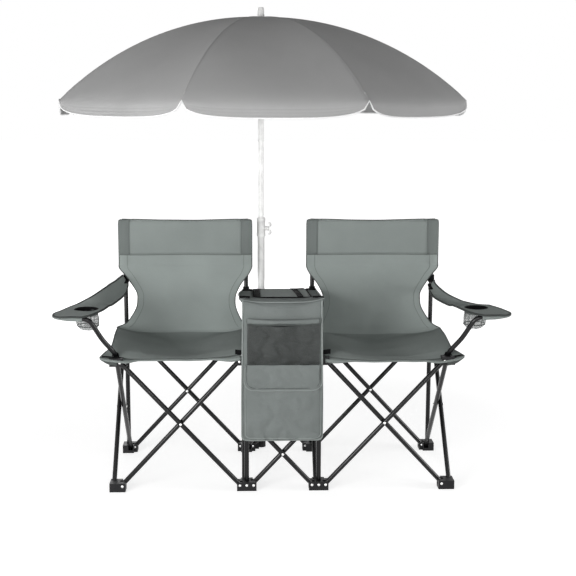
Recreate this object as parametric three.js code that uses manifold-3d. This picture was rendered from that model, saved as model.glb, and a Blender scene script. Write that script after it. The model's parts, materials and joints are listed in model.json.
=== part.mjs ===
// Double folding camp chair with a table-cooler between the seats and an umbrella.
// Lengths are millimetres. X runs to the right seen from the front, Y to the back and Z up.
import * as THREE from "three";
import { mergeVertices } from "three/addons/utils/BufferGeometryUtils.js";
import Module from "manifold-3d";

const wasm = await Module();
wasm.setup();

// Frame layout
const chairSpan = 395;
const tableSpan = chairSpan / 2;
const seatRise = 426;
const tableRise = seatRise / 2;
const footPivotHeight = 20;
const pivotInset = 23;

// Tubes and the rivets through them
const tubeRadius = 8;
const tubeWall = 1.2;
const tubeSides = 8;
const tubeEnd = 4.5;
const crossGap = 1;
const rivetRadius = 2.5;
const rivetSides = 6;
const rivetHoleGap = 0.2;
const headRadius = 4.6;
const headHeight = 2.2;
const headSides = 6;
const pinBite = 6;
const pinCover = 1.5;

// Clearances
const seatGap = 0.3;
const runningGap = 0.4;
const boreGap = 0.6;
const overrun = 60;

// Moulded feet, sliders and hubs
const cheek = 3.6;
const lugEnd = 10;
const coreWall = 3;
const footHeight = 30;
const footFloor = 4;
const sliderBelow = 13;
const sliderRoof = 5;

// Uprights, posts and the umbrella pole's place
const uprightTop = 866;
const postTop = 655;
const poleAside = 55.75;
const poleBehind = 41.5;

// Bent arm tubes
const armStraight = 36;
const armOut = 79;
const armForward = 54;
const armTipOut = 80;
const armTipBack = 12;
const armLowerBend = 70;
const armUpperBend = 38;
const bendSteps = 5;

// Slings
const slingTop = 876;
const slingThickness = 4;
const pocketBottom = 712;
const pocketHalfWidth = 21.5;
const pocketRadius = 11;
const pocketSteps = 6;
const slingFront = 9.5;
const slingSag = 20;
const slingDip = 22;
const slingFlap = 22;
const slingTubeGap = 1.5;
const grooveBottom = 640;

// Armrests and cup holders
const armrestThickness = 4;
const armrestTop = 612;
const armrestReach = 187.25;
const strapRingWall = 2.2;
const strapRingBottom = 640;
const strapRingTop = 668;
const cupOut = 92.25;
const cupInset = 55.5;
const cupRadius = 40;
const cupWall = 2;
const cupBottom = 545;
const cupFloor = 3;
const cupOpeningRadius = 38;
const cupSides = 16;

// Cooler bag, organiser and lid
const tableFrontZ = 655;
const tableBackZ = 618;
const tableBackInset = 40.5;
const tableOverhang = 11.25;
const bagSideInset = 21.75;
const bagFrontInset = 24.5;
const bagBackInset = 54.5;
const bagBottom = 380;
const bagWall = 6;
const rimThickness = 6;
const postClearance = 0.3;
const panelStandoff = 25.5;
const panelThickness = 5;
const panelBottom = 181;
const panelCorner = 24;
const panelCornerSteps = 4;
const meshPocketTop = 588;
const meshPocketBottom = 446;
const meshPocketInset = 14;
const meshPocketDepth = 5;
const lowPocketBottom = 190;
const lowPocketInset = 7;
const lowPocketDepth = 10;
const flapDepth = 14;
const flapBottom = 363;
const lidThickness = 8;
const lidSideInset = 4;
const lidFrontInset = 2;
const lidBackInset = 1;
const strapWidth = 22;
const strapHeight = 2;
const strapAside = 52;

// Umbrella
const lowerPoleRadius = 13;
const lowerPoleWall = 1.5;
const lowerPoleTop = 876;
const upperPoleRadius = 10;
const upperPoleWall = 1.2;
const upperPoleBottom = 526;
const poleSides = 12;
const collarRadius = 16.5;
const collarBottom = 805;
const knobZ = 835;
const knobBossRadius = 8;
const knobBossReach = 22;
const knobShankRadius = 3;
const knobShankInset = 17.8;
const knobHubRadius = 9;
const knobHubLength = 5;
const wingHeight = 24;
const wingThickness = 6;
const wingReach = 18;
const socketHeight = 45;
const socketWall = 3.4;
const socketWebWidth = 14;
const socketWebLap = 13;
const socketWebHeight = 26;
const clipBottom = 356;
const clipTop = 382;
const clipWall = 3.9;
const clipWebWidth = 12;
const apexHeight = 1596;
const rimHeight = 1305;
const canopyRadius = 745;
const canopyCloth = 1;
const valanceDrop = 52;
const valanceLeast = 10;
const ribCount = 8;
const firstRibAngle = THREE.MathUtils.degToRad(-19.5);
const panelSteps = 4;
const domeSteps = 5;
const ribRadius = 2.2;
const ribGap = 2.2;
const ribSides = 4;
const ribTipInset = 14;
const crownRadius = 18;
const crownHeight = 16;
const runnerRadius = 16;
const runnerHeight = 24;
const runnerDrop = 254;
const stretcherShare = 0.5;
const finialRadius = 13;
const finialTopRadius = 10.5;
const finialRound = 3;
const finialRise = 34;

// Sizes that follow
const tubeLay = tubeRadius + crossGap / 2;
const channelHalf = tubeRadius + runningGap;
const outerFace = tubeLay + channelHalf + cheek;
const channelReach = Math.hypot(tubeRadius, tubeEnd) + runningGap;
const lugReach = pivotInset + lugEnd;
const boreRadius = tubeRadius + boreGap;
const coreHalf = boreRadius + coreWall;
const innerX = tableSpan / 2 + pivotInset;
const outerX = innerX + chairSpan + 2 * pivotInset;
const planeY = chairSpan / 2 + pivotInset;
const seatPivotHeight = footPivotHeight + seatRise;
const tablePivotHeight = footPivotHeight + tableRise;
const poleX = -innerX + poleAside;
const poleY = planeY + poleBehind;
const socketRadius = lowerPoleRadius + boreGap + socketWall;
const armrestTip = outerX + armrestReach;
const cupX = outerX + cupOut;
const cupY = -planeY + cupInset;
const tableBackY = planeY - tableBackInset;
const tableHalfWidth = innerX + tableOverhang;
const bagHalfWidth = innerX - bagSideInset;
const bagFrontY = -planeY + bagFrontInset;
const bagBackY = planeY - bagBackInset;
const panelHalfWidth = tableHalfWidth;
const panelBack = -planeY - panelStandoff;
const lidHalfWidth = bagHalfWidth - lidSideInset;
const lidFrontY = bagFrontY + lidFrontInset;
const lidBackY = bagBackY - lidBackInset;
const finialTop = apexHeight + finialRise;
const runnerTop = apexHeight - runnerDrop;
const runnerBottom = runnerTop - runnerHeight;
const columnX = [-outerX, -innerX, innerX, outerX];
const right = new THREE.Vector3(1, 0, 0);
const back = new THREE.Vector3(0, 1, 0);
const up = new THREE.Vector3(0, 0, 1);

// Materials
const frameSteel = new THREE.MeshStandardMaterial({ color: 0x1c1d1e, roughness: 0.32, metalness: 0.6 });
const moulding = new THREE.MeshStandardMaterial({ color: 0x141414, roughness: 0.55, metalness: 0 });
const whiteSteel = new THREE.MeshStandardMaterial({ color: 0xeeeeee, roughness: 0.35, metalness: 0.2 });
const chairCloth = new THREE.MeshStandardMaterial({ color: 0x7f8985, roughness: 0.85, metalness: 0 });
const bagCloth = new THREE.MeshStandardMaterial({ color: 0x7a837f, roughness: 0.85, metalness: 0 });
const meshCloth = new THREE.MeshStandardMaterial({ color: 0x3d4341, roughness: 0.9, metalness: 0 });
const canopyFabric = new THREE.MeshStandardMaterial({ color: 0x8a8a8a, roughness: 0.8, metalness: 0 });

const model = new THREE.Group();

// A closed mesh as a solid that can be joined and cut.
function solidOf(geometry) {
  const plain = geometry.clone();
  plain.deleteAttribute("normal");
  plain.deleteAttribute("uv");
  const merged = mergeVertices(plain);
  const vertProperties = merged.attributes.position.array;
  const triVerts = new Uint32Array(merged.index.array);
  return new wasm.Manifold(new wasm.Mesh({ numProp: 3, vertProperties, triVerts }));
}

// Adds a solid to the model as a named mesh.
function addPiece(name, solid, material) {
  const made = solid.getMesh();
  const geometry = new THREE.BufferGeometry();
  geometry.setAttribute("position", new THREE.BufferAttribute(made.vertProperties, made.numProp));
  geometry.setIndex(new THREE.BufferAttribute(made.triVerts, 1));
  geometry.computeVertexNormals();
  const mesh = new THREE.Mesh(geometry, material);
  mesh.name = name;
  model.add(mesh);
}

function joined(solids) {
  return solids.reduce((whole, piece) => whole.add(piece));
}

function cutBy(solid, tools) {
  return tools.reduce((whole, tool) => whole.subtract(tool), solid);
}

// A point that lies given distances along given directions from a start.
function offset(start, ...steps) {
  const point = start.clone();
  for (const [direction, distance] of steps) {
    point.addScaledVector(direction, distance);
  }
  return point;
}

// A box between two opposite corners.
function boxBetween(a, b) {
  const size = new THREE.Vector3().subVectors(b, a);
  const geometry = new THREE.BoxGeometry(Math.abs(size.x), Math.abs(size.y), Math.abs(size.z));
  const middle = new THREE.Vector3().addVectors(a, b).multiplyScalar(0.5);
  return solidOf(geometry.translate(middle.x, middle.y, middle.z));
}

// A path that runs straight between its stations.
class StationPath extends THREE.Curve {
  constructor(stations) {
    super();
    this.stations = stations;
  }
  getPoint(t, target = new THREE.Vector3()) {
    const place = THREE.MathUtils.clamp(t, 0, 1) * (this.stations.length - 1);
    const index = Math.min(Math.floor(place), this.stations.length - 2);
    return target.lerpVectors(this.stations[index], this.stations[index + 1], place - index);
  }
  getUtoTmapping(u) {
    return u;
  }
}

function polygonPoints(radius, sides) {
  const points = [];
  for (let i = 0; i < sides; i++) {
    const angle = (2 * Math.PI * i) / sides;
    points.push(new THREE.Vector2(radius * Math.cos(angle), radius * Math.sin(angle)));
  }
  return points;
}

// A round bar, or a tube where it has a bore, along a row of stations.
function barAlong(stations, radius, sides, bore = 0) {
  const section = new THREE.Shape(polygonPoints(radius, sides));
  if (bore > 0) {
    section.holes.push(new THREE.Path(polygonPoints(bore, sides)));
  }
  const path = new StationPath(stations);
  const settings = { steps: stations.length - 1, extrudePath: path, bevelEnabled: false };
  return solidOf(new THREE.ExtrudeGeometry(section, settings));
}

// The stations of a path with its corners rounded off.
function roundedStations(corners, radii) {
  const stations = [corners[0]];
  for (let i = 1; i < corners.length - 1; i++) {
    const before = new THREE.Vector3().subVectors(corners[i], corners[i - 1]).normalize();
    const after = new THREE.Vector3().subVectors(corners[i + 1], corners[i]).normalize();
    const reach = radii[i - 1] * Math.tan(before.angleTo(after) / 2);
    const start = offset(corners[i], [before, -reach]);
    const end = offset(corners[i], [after, reach]);
    stations.push(...new THREE.QuadraticBezierCurve3(start, corners[i], end).getPoints(bendSteps));
  }
  stations.push(corners[corners.length - 1]);
  return stations;
}

// An outline in plan, raised between two heights.
function prism(outline, bottom, top) {
  const settings = { depth: top - bottom, bevelEnabled: false };
  return solidOf(new THREE.ExtrudeGeometry(new THREE.Shape(outline), settings).translate(0, 0, bottom));
}

// An outline in a plane across X, given as Y and Z, spread between two X places.
function prismAcross(outline, fromX, toX) {
  const settings = { depth: toX - fromX, bevelEnabled: false };
  const turned = new THREE.ExtrudeGeometry(new THREE.Shape(outline), settings);
  const basis = new THREE.Matrix4().makeBasis(back, up, right);
  return solidOf(turned.applyMatrix4(basis).translate(fromX, 0, 0));
}

// An outline in a plane across Y, given as X and Z, spread between two Y places.
function prismThrough(outline, fromY, toY) {
  const settings = { depth: toY - fromY, bevelEnabled: false };
  const turned = new THREE.ExtrudeGeometry(new THREE.Shape(outline), settings);
  const basis = new THREE.Matrix4().makeBasis(right, up, back.clone().negate());
  return solidOf(turned.applyMatrix4(basis).translate(0, toY, 0));
}

// A closed skin between an upper and a lower grid of points, wrapped round or with open sides.
function skin(upper, lower, wrapped) {
  const rows = upper.length;
  const columns = upper[0].length;
  const positions = [...upper.flat(), ...lower.flat()].flatMap((point) => [point.x, point.y, point.z]);
  const high = (i, j) => i * columns + (j % columns);
  const low = (i, j) => rows * columns + high(i, j);
  const index = [];
  const quad = (a, b, c, d) => index.push(a, b, c, a, c, d);
  const spans = wrapped ? columns : columns - 1;
  for (let j = 0; j < spans; j++) {
    for (let i = 0; i < rows - 1; i++) {
      quad(high(i, j), high(i + 1, j), high(i + 1, j + 1), high(i, j + 1));
      quad(low(i, j), low(i, j + 1), low(i + 1, j + 1), low(i + 1, j));
    }
    quad(high(0, j), high(0, j + 1), low(0, j + 1), low(0, j));
    quad(high(rows - 1, j), low(rows - 1, j), low(rows - 1, j + 1), high(rows - 1, j + 1));
  }
  if (!wrapped) {
    for (let i = 0; i < rows - 1; i++) {
      quad(high(i, 0), low(i, 0), low(i + 1, 0), high(i + 1, 0));
      quad(high(i, spans), high(i + 1, spans), low(i + 1, spans), low(i, spans));
    }
  }
  const geometry = new THREE.BufferGeometry();
  geometry.setAttribute("position", new THREE.Float32BufferAttribute(positions, 3));
  geometry.setIndex(index);
  return solidOf(geometry);
}

// A sheet of one thickness about a grid of middle points, seen from the side that its normals face.
function sheet(middle, thickness) {
  const rows = middle.length;
  const columns = middle[0].length;
  const upper = [];
  const lower = [];
  for (let i = 0; i < rows; i++) {
    upper.push([]);
    lower.push([]);
    for (let j = 0; j < columns; j++) {
      const along = new THREE.Vector3().subVectors(
        middle[Math.min(i + 1, rows - 1)][j],
        middle[Math.max(i - 1, 0)][j],
      );
      const across = new THREE.Vector3().subVectors(
        middle[i][Math.min(j + 1, columns - 1)],
        middle[i][Math.max(j - 1, 0)],
      );
      const normal = along.cross(across).normalize();
      upper[i].push(offset(middle[i][j], [normal, thickness / 2]));
      lower[i].push(offset(middle[i][j], [normal, -thickness / 2]));
    }
  }
  return skin(upper, lower, false);
}

// The rivet of a pivot: a shank between two distances from the pivot's plane, and its heads.
function rivet(pivot, normal, inner, outer, innerHead, outerHead) {
  const pieces = [];
  const shankOuter = outerHead ? outer + seatGap + headHeight / 2 : outer - pinCover;
  const shankEnds = [offset(pivot, [normal, inner]), offset(pivot, [normal, shankOuter])];
  pieces.push(barAlong(shankEnds, rivetRadius, rivetSides));
  if (outerHead) {
    const start = outer + seatGap;
    const headEnds = [offset(pivot, [normal, start]), offset(pivot, [normal, start + headHeight])];
    pieces.push(barAlong(headEnds, headRadius, headSides));
  }
  if (innerHead) {
    const headEnds = [offset(pivot, [normal, inner - headHeight]), offset(pivot, [normal, inner])];
    pieces.push(barAlong(headEnds, headRadius, headSides));
  }
  return joined(pieces);
}

// A hole that stays clear of the rivet's corners as it turns.
function rivetHole(pivot, normal, inner, outer) {
  const ends = [offset(pivot, [normal, inner]), offset(pivot, [normal, outer])];
  return barAlong(ends, (rivetRadius + rivetHoleGap) / Math.cos(Math.PI / rivetSides), rivetSides);
}

// How far a moulding reaches on each side of a pivot plane whose tube lies outside (1) or inside (-1).
function faceOutside(lay, isFoot) {
  return isFoot || lay > 0 ? outerFace : coreHalf;
}

function faceInside(lay, isFoot) {
  return isFoot || lay < 0 ? outerFace : coreHalf;
}

// The end of a tube's rivet inside the moulding.
function pinInside(lay) {
  return lay > 0 ? -pinBite : -(outerFace - pinCover);
}

// A foot (isFoot) or a slider: a block with a lug and an open channel for each tube that pivots on it.
function moulded({ centre, lugs, isFoot, bottom, top, floor, hasBore, fixing }) {
  const blocks = [];
  const cuts = [];
  for (const { direction, normal, lay, passing } of lugs) {
    const outside = faceOutside(lay, isFoot);
    const inside = faceInside(lay, isFoot);
    const rear = isFoot ? outerFace : coreHalf;
    const low = offset(centre, [direction, -rear], [normal, -inside], [up, bottom]);
    const high = offset(centre, [direction, lugReach], [normal, outside], [up, top]);
    blocks.push(boxBetween(low, high));
    const pivot = offset(centre, [direction, pivotInset]);
    cuts.push(rivetHole(pivot, normal, pinInside(lay) - seatGap, outside + overrun));
    if (passing) {
      cuts.push(...passingCuts(pivot, direction, normal, lay));
      continue;
    }
    const start = pivotInset - channelReach;
    const reach = isFoot ? overrun : -overrun;
    const limit = isFoot ? -channelReach : channelReach;
    cuts.push(
      boxBetween(
        offset(centre, [direction, start], [normal, lay * tubeLay - channelHalf], [up, limit]),
        offset(centre, [direction, overrun], [normal, lay * tubeLay + channelHalf], [up, reach]),
      ),
    );
  }
  if (hasBore) {
    const boreEnds = [offset(centre, [up, floor]), offset(centre, [up, top + overrun])];
    cuts.push(barAlong(boreEnds, boreRadius, tubeSides));
  }
  if (fixing) {
    cuts.push(rivetHole(centre, fixing, 0, outerFace + overrun));
  }
  return cutBy(joined(blocks), cuts);
}

// The room for a tube that passes right through a hub, from the open frame's lean to upright.
function passingCuts(pivot, direction, normal, lay) {
  const lean = Math.atan2(seatRise, chairSpan);
  const opened = new THREE.Vector2(-Math.cos(lean), Math.sin(lean));
  const openedSide = new THREE.Vector2(-Math.sin(lean), -Math.cos(lean));
  const folded = new THREE.Vector2(0, 1);
  const foldedSide = new THREE.Vector2(1, 0);
  const middle = offset(pivot, [normal, lay * tubeLay]);
  const across = new THREE.Vector3().crossVectors(direction, up);
  const wedge = (turn) => {
    const corner = (side, run, reach) =>
      new THREE.Vector2().addScaledVector(side, turn * channelHalf).addScaledVector(run, turn * reach);
    const outline = [
      corner(openedSide, opened, 0),
      corner(openedSide, opened, overrun),
      corner(foldedSide, folded, overrun),
      corner(foldedSide, folded, 0),
    ];
    const settings = { depth: 2 * channelHalf, bevelEnabled: false };
    const geometry = new THREE.ExtrudeGeometry(new THREE.Shape(outline), settings);
    const place = new THREE.Matrix4().makeBasis(direction, up, across);
    place.setPosition(offset(middle, [across, -channelHalf]));
    return solidOf(geometry.applyMatrix4(place));
  };
  const middleEnds = [offset(middle, [across, -channelHalf]), offset(middle, [across, channelHalf])];
  return [wedge(1), wedge(-1), barAlong(middleEnds, channelHalf, tubeSides)];
}

// A tube of a crossed pair, from a foot pivot to a slider pivot. Corners past the upper pivot bend it on.
function pairTube({ low, high, normal, lay, ownsCrossing, heads, path }) {
  const crossing = new THREE.Vector3().lerpVectors(low, high, 0.5);
  const stations = path || straightPath(low, high, normal, lay);
  const reach = tubeLay + tubeRadius;
  let tube = barAlong(stations, tubeRadius, tubeSides, tubeRadius - tubeWall);
  tube = tube.add(rivet(low, normal, pinInside(lay), faceOutside(lay, true), false, heads));
  tube = tube.add(rivet(high, normal, pinInside(lay), faceOutside(lay, false), false, heads));
  if (ownsCrossing) {
    return tube.add(rivet(crossing, normal, -reach - seatGap, reach, true, true));
  }
  const middle = offset(crossing, [normal, lay * tubeLay]);
  return tube.subtract(rivetHole(middle, normal, -tubeLay, tubeLay));
}

// The axis of a straight tube that lies on one side of its pivot plane.
function straightPath(low, high, normal, lay) {
  const start = offset(low, [normal, lay * tubeLay]);
  const end = offset(high, [normal, lay * tubeLay]);
  const along = new THREE.Vector3().subVectors(end, start).normalize();
  return [offset(start, [along, -tubeEnd]), offset(end, [along, tubeEnd])];
}

// A crossed pair: tube A rises along the pair's direction, tube B against it.
function addPair({ names, start, along, span, rise, normal, layA, heads, pathB }) {
  const end = offset(start, [along, span]);
  const tubeA = { low: start, high: offset(end, [up, rise]), normal, lay: layA, ownsCrossing: true, heads };
  const tubeB = { low: end, high: offset(start, [up, rise]), normal, lay: -layA, heads, path: pathB };
  addPiece(names[0], pairTube(tubeA), frameSteel);
  addPiece(names[1], pairTube(tubeB), frameSteel);
}

// Rows of feet, pairs across the rows and pairs along the sides
const front = back.clone().negate();
const left = right.clone().negate();
const rows = [
  { name: "front", y: -planeY, normal: front, inward: back, sideLay: 1 },
  { name: "back", y: planeY, normal: back, inward: front, sideLay: -1 },
];
const rowPairs = [
  { name: "left", from: 0, span: chairSpan, rise: seatRise, layA: -1 },
  { name: "table", from: 1, span: tableSpan, rise: tableRise, layA: -1 },
  { name: "right", from: 2, span: chairSpan, rise: seatRise, layA: 1 },
];
const sideNormals = [left, left, left, right];
const sideNames = [
  ["side_brace_left", "arm_tube_left"],
  ["side_inner_left_a", "side_inner_left_b"],
  ["side_inner_right_a", "side_inner_right_b"],
  ["side_brace_right", "arm_tube_right"],
];

// The axis of an arm tube, from its back foot through the hub and up under the armrest's plate.
function armPath(side) {
  const normal = side < 0 ? left : right;
  const low = new THREE.Vector3(side * outerX, planeY - pivotInset, footPivotHeight);
  const high = new THREE.Vector3(side * outerX, -planeY + pivotInset, seatPivotHeight);
  const [start, end] = straightPath(low, high, normal, -1);
  const along = new THREE.Vector3().subVectors(end, start).normalize();
  const bend = offset(end, [along, armStraight - tubeEnd]);
  const knee = offset(bend, [normal, armOut], [front, armForward]);
  knee.z = armrestTop - armrestThickness / 2 - seatGap - tubeRadius;
  const tip = offset(knee, [normal, armTipOut], [back, armTipBack]);
  return roundedStations([start, bend, knee, tip], [armLowerBend, armUpperBend]);
}

function addFeet() {
  for (const row of rows) {
    columnX.forEach((x, i) => {
      const lugs = rowPairs.flatMap((pair) => {
        if (pair.from === i) {
          return [{ direction: right, normal: row.normal, lay: pair.layA }];
        }
        if (pair.from + 1 === i) {
          return [{ direction: left, normal: row.normal, lay: -pair.layA }];
        }
        return [];
      });
      lugs.push({ direction: row.inward, normal: sideNormals[i], lay: row.sideLay });
      const hasBore = row.name === "back" || i === 1 || i === 2;
      const foot = moulded({
        centre: new THREE.Vector3(x, row.y, footPivotHeight),
        lugs,
        isFoot: true,
        bottom: -footPivotHeight,
        top: footHeight - footPivotHeight,
        floor: footFloor - footPivotHeight,
        hasBore,
        fixing: hasBore ? row.normal : null,
      });
      const isSocket = row.name === "back" && i === 1;
      addPiece(`foot_${row.name}_${i + 1}`, isSocket ? withSocket(foot) : foot, moulding);
      if (hasBore) {
        addColumn(row, x, i);
      }
    });
  }
}

// The pole's socket, moulded on the foot beside it.
function withSocket(foot) {
  const ground = new THREE.Vector3(poleX, poleY, 0);
  const cup = barAlong([ground, offset(ground, [up, socketHeight])], socketRadius, poleSides);
  const boreEnds = [offset(ground, [up, footFloor]), offset(ground, [up, overrun])];
  const bore = barAlong(boreEnds, lowerPoleRadius + boreGap, poleSides);
  const corner = new THREE.Vector3(-innerX + lugReach, planeY + outerFace, 0);
  const webLow = offset(corner, [left, cheek], [front, socketWebLap]);
  const webHigh = offset(corner, [right, socketWebWidth], [back, socketWebLap], [up, socketWebHeight]);
  return foot.add(cup).add(boxBetween(webLow, webHigh)).subtract(bore);
}

// A back upright or a front post, standing in its foot.
function addColumn(row, x, i) {
  const top = row.name === "back" ? uprightTop : postTop;
  const ends = [new THREE.Vector3(x, row.y, footFloor + seatGap), new THREE.Vector3(x, row.y, top)];
  const tube = barAlong(ends, tubeRadius, tubeSides, tubeRadius - tubeWall);
  const centre = new THREE.Vector3(x, row.y, footPivotHeight);
  const name = row.name === "back" ? `upright_back_${i + 1}` : `post_front_${i + 1}`;
  addPiece(name, tube.add(rivet(centre, row.normal, 0, outerFace, false, true)), frameSteel);
}

function addRowPairs() {
  for (const row of rows) {
    for (const pair of rowPairs) {
      addPair({
        names: [`cross_${row.name}_${pair.name}_a`, `cross_${row.name}_${pair.name}_b`],
        start: new THREE.Vector3(columnX[pair.from] + pivotInset, row.y, footPivotHeight),
        along: right,
        span: pair.span,
        rise: pair.rise,
        normal: row.normal,
        layA: pair.layA,
        heads: true,
      });
    }
  }
}

function addSidePairs() {
  columnX.forEach((x, i) => {
    const isOuter = i === 0 || i === columnX.length - 1;
    addPair({
      names: sideNames[i],
      start: new THREE.Vector3(x, -planeY + pivotInset, footPivotHeight),
      along: back,
      span: chairSpan,
      rise: seatRise,
      normal: sideNormals[i],
      layA: 1,
      heads: isOuter,
      pathB: isOuter ? armPath(Math.sign(x)) : null,
    });
  });
}

// The sliders and hubs at seat height, and the sliders of the half-size pairs under the table.
function addSliders() {
  const block = { isFoot: false, bottom: -sliderBelow, top: channelReach + sliderRoof, floor: -overrun };
  for (const row of rows) {
    columnX.forEach((x, i) => {
      const pair = i < 2 ? rowPairs[0] : rowPairs[2];
      const isStart = pair.from === i;
      const isHub = row.name === "front" && (i === 0 || i === columnX.length - 1);
      const lugs = [
        { direction: isStart ? right : left, normal: row.normal, lay: isStart ? -pair.layA : pair.layA },
        { direction: row.inward, normal: sideNormals[i], lay: -row.sideLay, passing: isHub },
      ];
      const centre = new THREE.Vector3(x, row.y, seatPivotHeight);
      const name = isHub ? `hub_front_${i + 1}` : `slider_${row.name}_${i + 1}`;
      addPiece(name, moulded({ ...block, centre, lugs, hasBore: !isHub }), moulding);
    });
    for (const i of [1, 2]) {
      const isStart = i === 1;
      const lay = isStart ? -rowPairs[1].layA : rowPairs[1].layA;
      const lugs = [{ direction: isStart ? right : left, normal: row.normal, lay }];
      const centre = new THREE.Vector3(columnX[i], row.y, tablePivotHeight);
      const name = `lower_slider_${row.name}_${i + 1}`;
      addPiece(name, moulded({ ...block, centre, lugs, hasBore: true }), moulding);
    }
  }
}

// The sling's stations from its top edge to its front edge, as shares: how far forward of the uprights it
// lies (of the frame's half depth), its height (of the sling's top), its outer and inner half widths (of
// the width over the pockets), its sag backwards, its dip downwards and its corner flap.
const slingStationShares = [
  [0, 1, 1, 1, 0, 0, 0],
  [0, 0.9, 1, 1, 0.4, 0, 0],
  [0, 0.82, 1, 1, 0.5, 0, 0],
  [0.014, 0.795, 0.995, 0.995, 0.5, 0, 0],
  [0.03, 0.766, 0.908, 0.94, 0.5, 0, 0],
  [0.045, 0.733, 0.821, 0.845, 0.5, 0, 0],
  [0.055, 0.695, 0.739, 0.77, 0.4, 0, 0],
  [0.065, 0.667, 0.726, 0.745, 0.3, 0, 0],
  [0.086, 0.634, 0.747, 0.757, 0.2, 0.1, 0],
  [0.118, 0.592, 0.838, 0.82, 0, 0.5, 0],
  [0.2, 0.558, 1.025, 0.93, 0, 1, 0],
  [0.45, 0.562, 1.02, 0.928, 0, 1.8, 0],
  [0.95, 0.566, 1.01, 0.926, 0, 2.2, 0],
  [1.4, 0.562, 1.01, 0.91, 0, 2, 0],
  [1.7, 0.552, 1.03, 0.885, 0, 1.5, 0],
  [1.85, 0.544, 1.055, 0.86, 0, 1.2, 0.4],
  [1.94, 0.537, 1.078, 0.836, 0, 1, 1],
];
const slingAcrossShares = [-1, -0.75, -0.4, 0, 0.4, 0.75, 1];

function addSling(side, name) {
  const middleX = (side * (outerX + innerX)) / 2;
  const halfWidth = (outerX - innerX) / 2 + pocketHalfWidth;
  const grid = slingStationShares.map(([forward, height, outer, inner, sag, dip, flap]) =>
    slingAcrossShares.map((share) => {
      const isOuter = share * side > 0;
      const reach = halfWidth * (isOuter ? outer : inner);
      const slack = (1 - share ** 2) ** 2;
      const corner = isOuter ? share ** 4 : 0;
      const x = middleX + share * reach;
      const y = planeY - slingFront - planeY * forward + slingSag * sag * slack - slingFlap * flap * corner;
      const z = slingTop * height - slingDip * dip * slack;
      return new THREE.Vector3(x, y, z);
    }),
  );
  let sling = sheet(grid, slingThickness);
  for (const column of [outerX, innerX]) {
    const pocket = pocketOutline(side * column);
    sling = sling.add(prism(pocket, pocketBottom, slingTop));
  }
  for (const column of [outerX, innerX]) {
    const foot = new THREE.Vector3(side * column, planeY, grooveBottom);
    const ends = [foot, offset(foot, [up, uprightTop + boreGap - grooveBottom])];
    sling = sling.subtract(barAlong(ends, boreRadius, tubeSides));
  }
  sling = sling.subtract(barAlong(armPath(side), tubeRadius + slingTubeGap, tubeSides));
  addPiece(name, sling, chairCloth);
}

// The pocket round an upright, seen from above: a flat front hem and a round back.
function pocketOutline(x) {
  const frontY = planeY - slingFront;
  const points = [
    new THREE.Vector2(x - pocketHalfWidth, frontY),
    new THREE.Vector2(x + pocketHalfWidth, frontY),
    new THREE.Vector2(x + pocketHalfWidth, frontY + slingThickness / 2),
  ];
  for (let i = 0; i <= pocketSteps; i++) {
    const angle = (Math.PI * i) / pocketSteps;
    points.push(new THREE.Vector2(x + pocketRadius * Math.cos(angle), planeY + pocketRadius * Math.sin(angle)));
  }
  points.push(new THREE.Vector2(x - pocketHalfWidth, frontY + slingThickness / 2));
  return points;
}

// The armrest's stations from the upright to its rounded front, as shares: its place along the depth (of
// the frame's half depth), then how far out (of the tip's reach past the upright) and how high (of the
// strap's rise) its outer and its inner edge lie.
const armrestStationShares = [
  [0.957, 0.055, 1, -0.036, 0.5],
  [0.88, 0.065, 1, -0.052, 0.39],
  [0.54, 0.14, 0.91, -0.047, 0.125],
  [0.27, 0.236, 0.785, -0.004, 0],
  [0, 0.343, 0.625, 0.055, -0.1],
  [-0.27, 0.49, 0.4, 0.103, -0.1],
  [-0.45, 0.68, 0.14, 0.135, 0],
  [-0.68, 0.85, 0, 0.167, 0],
  [-0.91, 0.936, 0, 0.23, 0],
  [-1.13, 1, 0, 0.316, 0],
  [-1.29, 0.957, 0, 0.412, 0],
  [-1.37, 0.85, 0, 0.508, 0],
];
const armrestAcrossShares = [0, 0.33, 0.67, 1];

function addArmrest(side, sideName) {
  const reach = armrestTip - outerX;
  const rise = strapRingTop - armrestTop;
  const grid = armrestStationShares.map(([along, outerOut, outerUp, innerOut, innerUp]) => {
    const y = planeY * along;
    const outer = new THREE.Vector3(side * (outerX + reach * outerOut), y, armrestTop + rise * outerUp);
    const inner = new THREE.Vector3(side * (outerX + reach * innerOut), y, armrestTop + rise * innerUp);
    const edges = side < 0 ? [outer, inner] : [inner, outer];
    return armrestAcrossShares.map((share) => new THREE.Vector3().lerpVectors(...edges, share));
  });
  const ringFoot = new THREE.Vector3(side * outerX, planeY, strapRingBottom);
  const ringEnds = [ringFoot, offset(ringFoot, [up, strapRingTop - strapRingBottom])];
  const boreEnds = [offset(ringFoot, [up, -overrun]), offset(ringFoot, [up, overrun])];
  const cupFoot = new THREE.Vector3(side * cupX, cupY, armrestTop);
  const openingEnds = [offset(cupFoot, [up, -overrun]), offset(cupFoot, [up, overrun])];
  const armrest = sheet(grid, armrestThickness)
    .add(barAlong(ringEnds, boreRadius + strapRingWall, headSides * 2))
    .subtract(barAlong(boreEnds, boreRadius, tubeSides))
    .subtract(barAlong(openingEnds, cupOpeningRadius, cupSides));
  addPiece(`armrest_${sideName}`, armrest, bagCloth);
  const plateBottom = armrestTop - armrestThickness / 2;
  const base = new THREE.Vector3(side * cupX, cupY, cupBottom);
  const rim = new THREE.Vector3(side * cupX, cupY, plateBottom - seatGap);
  const hollowEnds = [offset(base, [up, cupFloor]), offset(rim, [up, overrun])];
  const cup = barAlong([base, rim], cupRadius, cupSides);
  const hollow = barAlong(hollowEnds, cupRadius - cupWall, cupSides);
  addPiece(`cup_holder_${sideName}`, cup.subtract(hollow), meshCloth);
}

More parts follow.
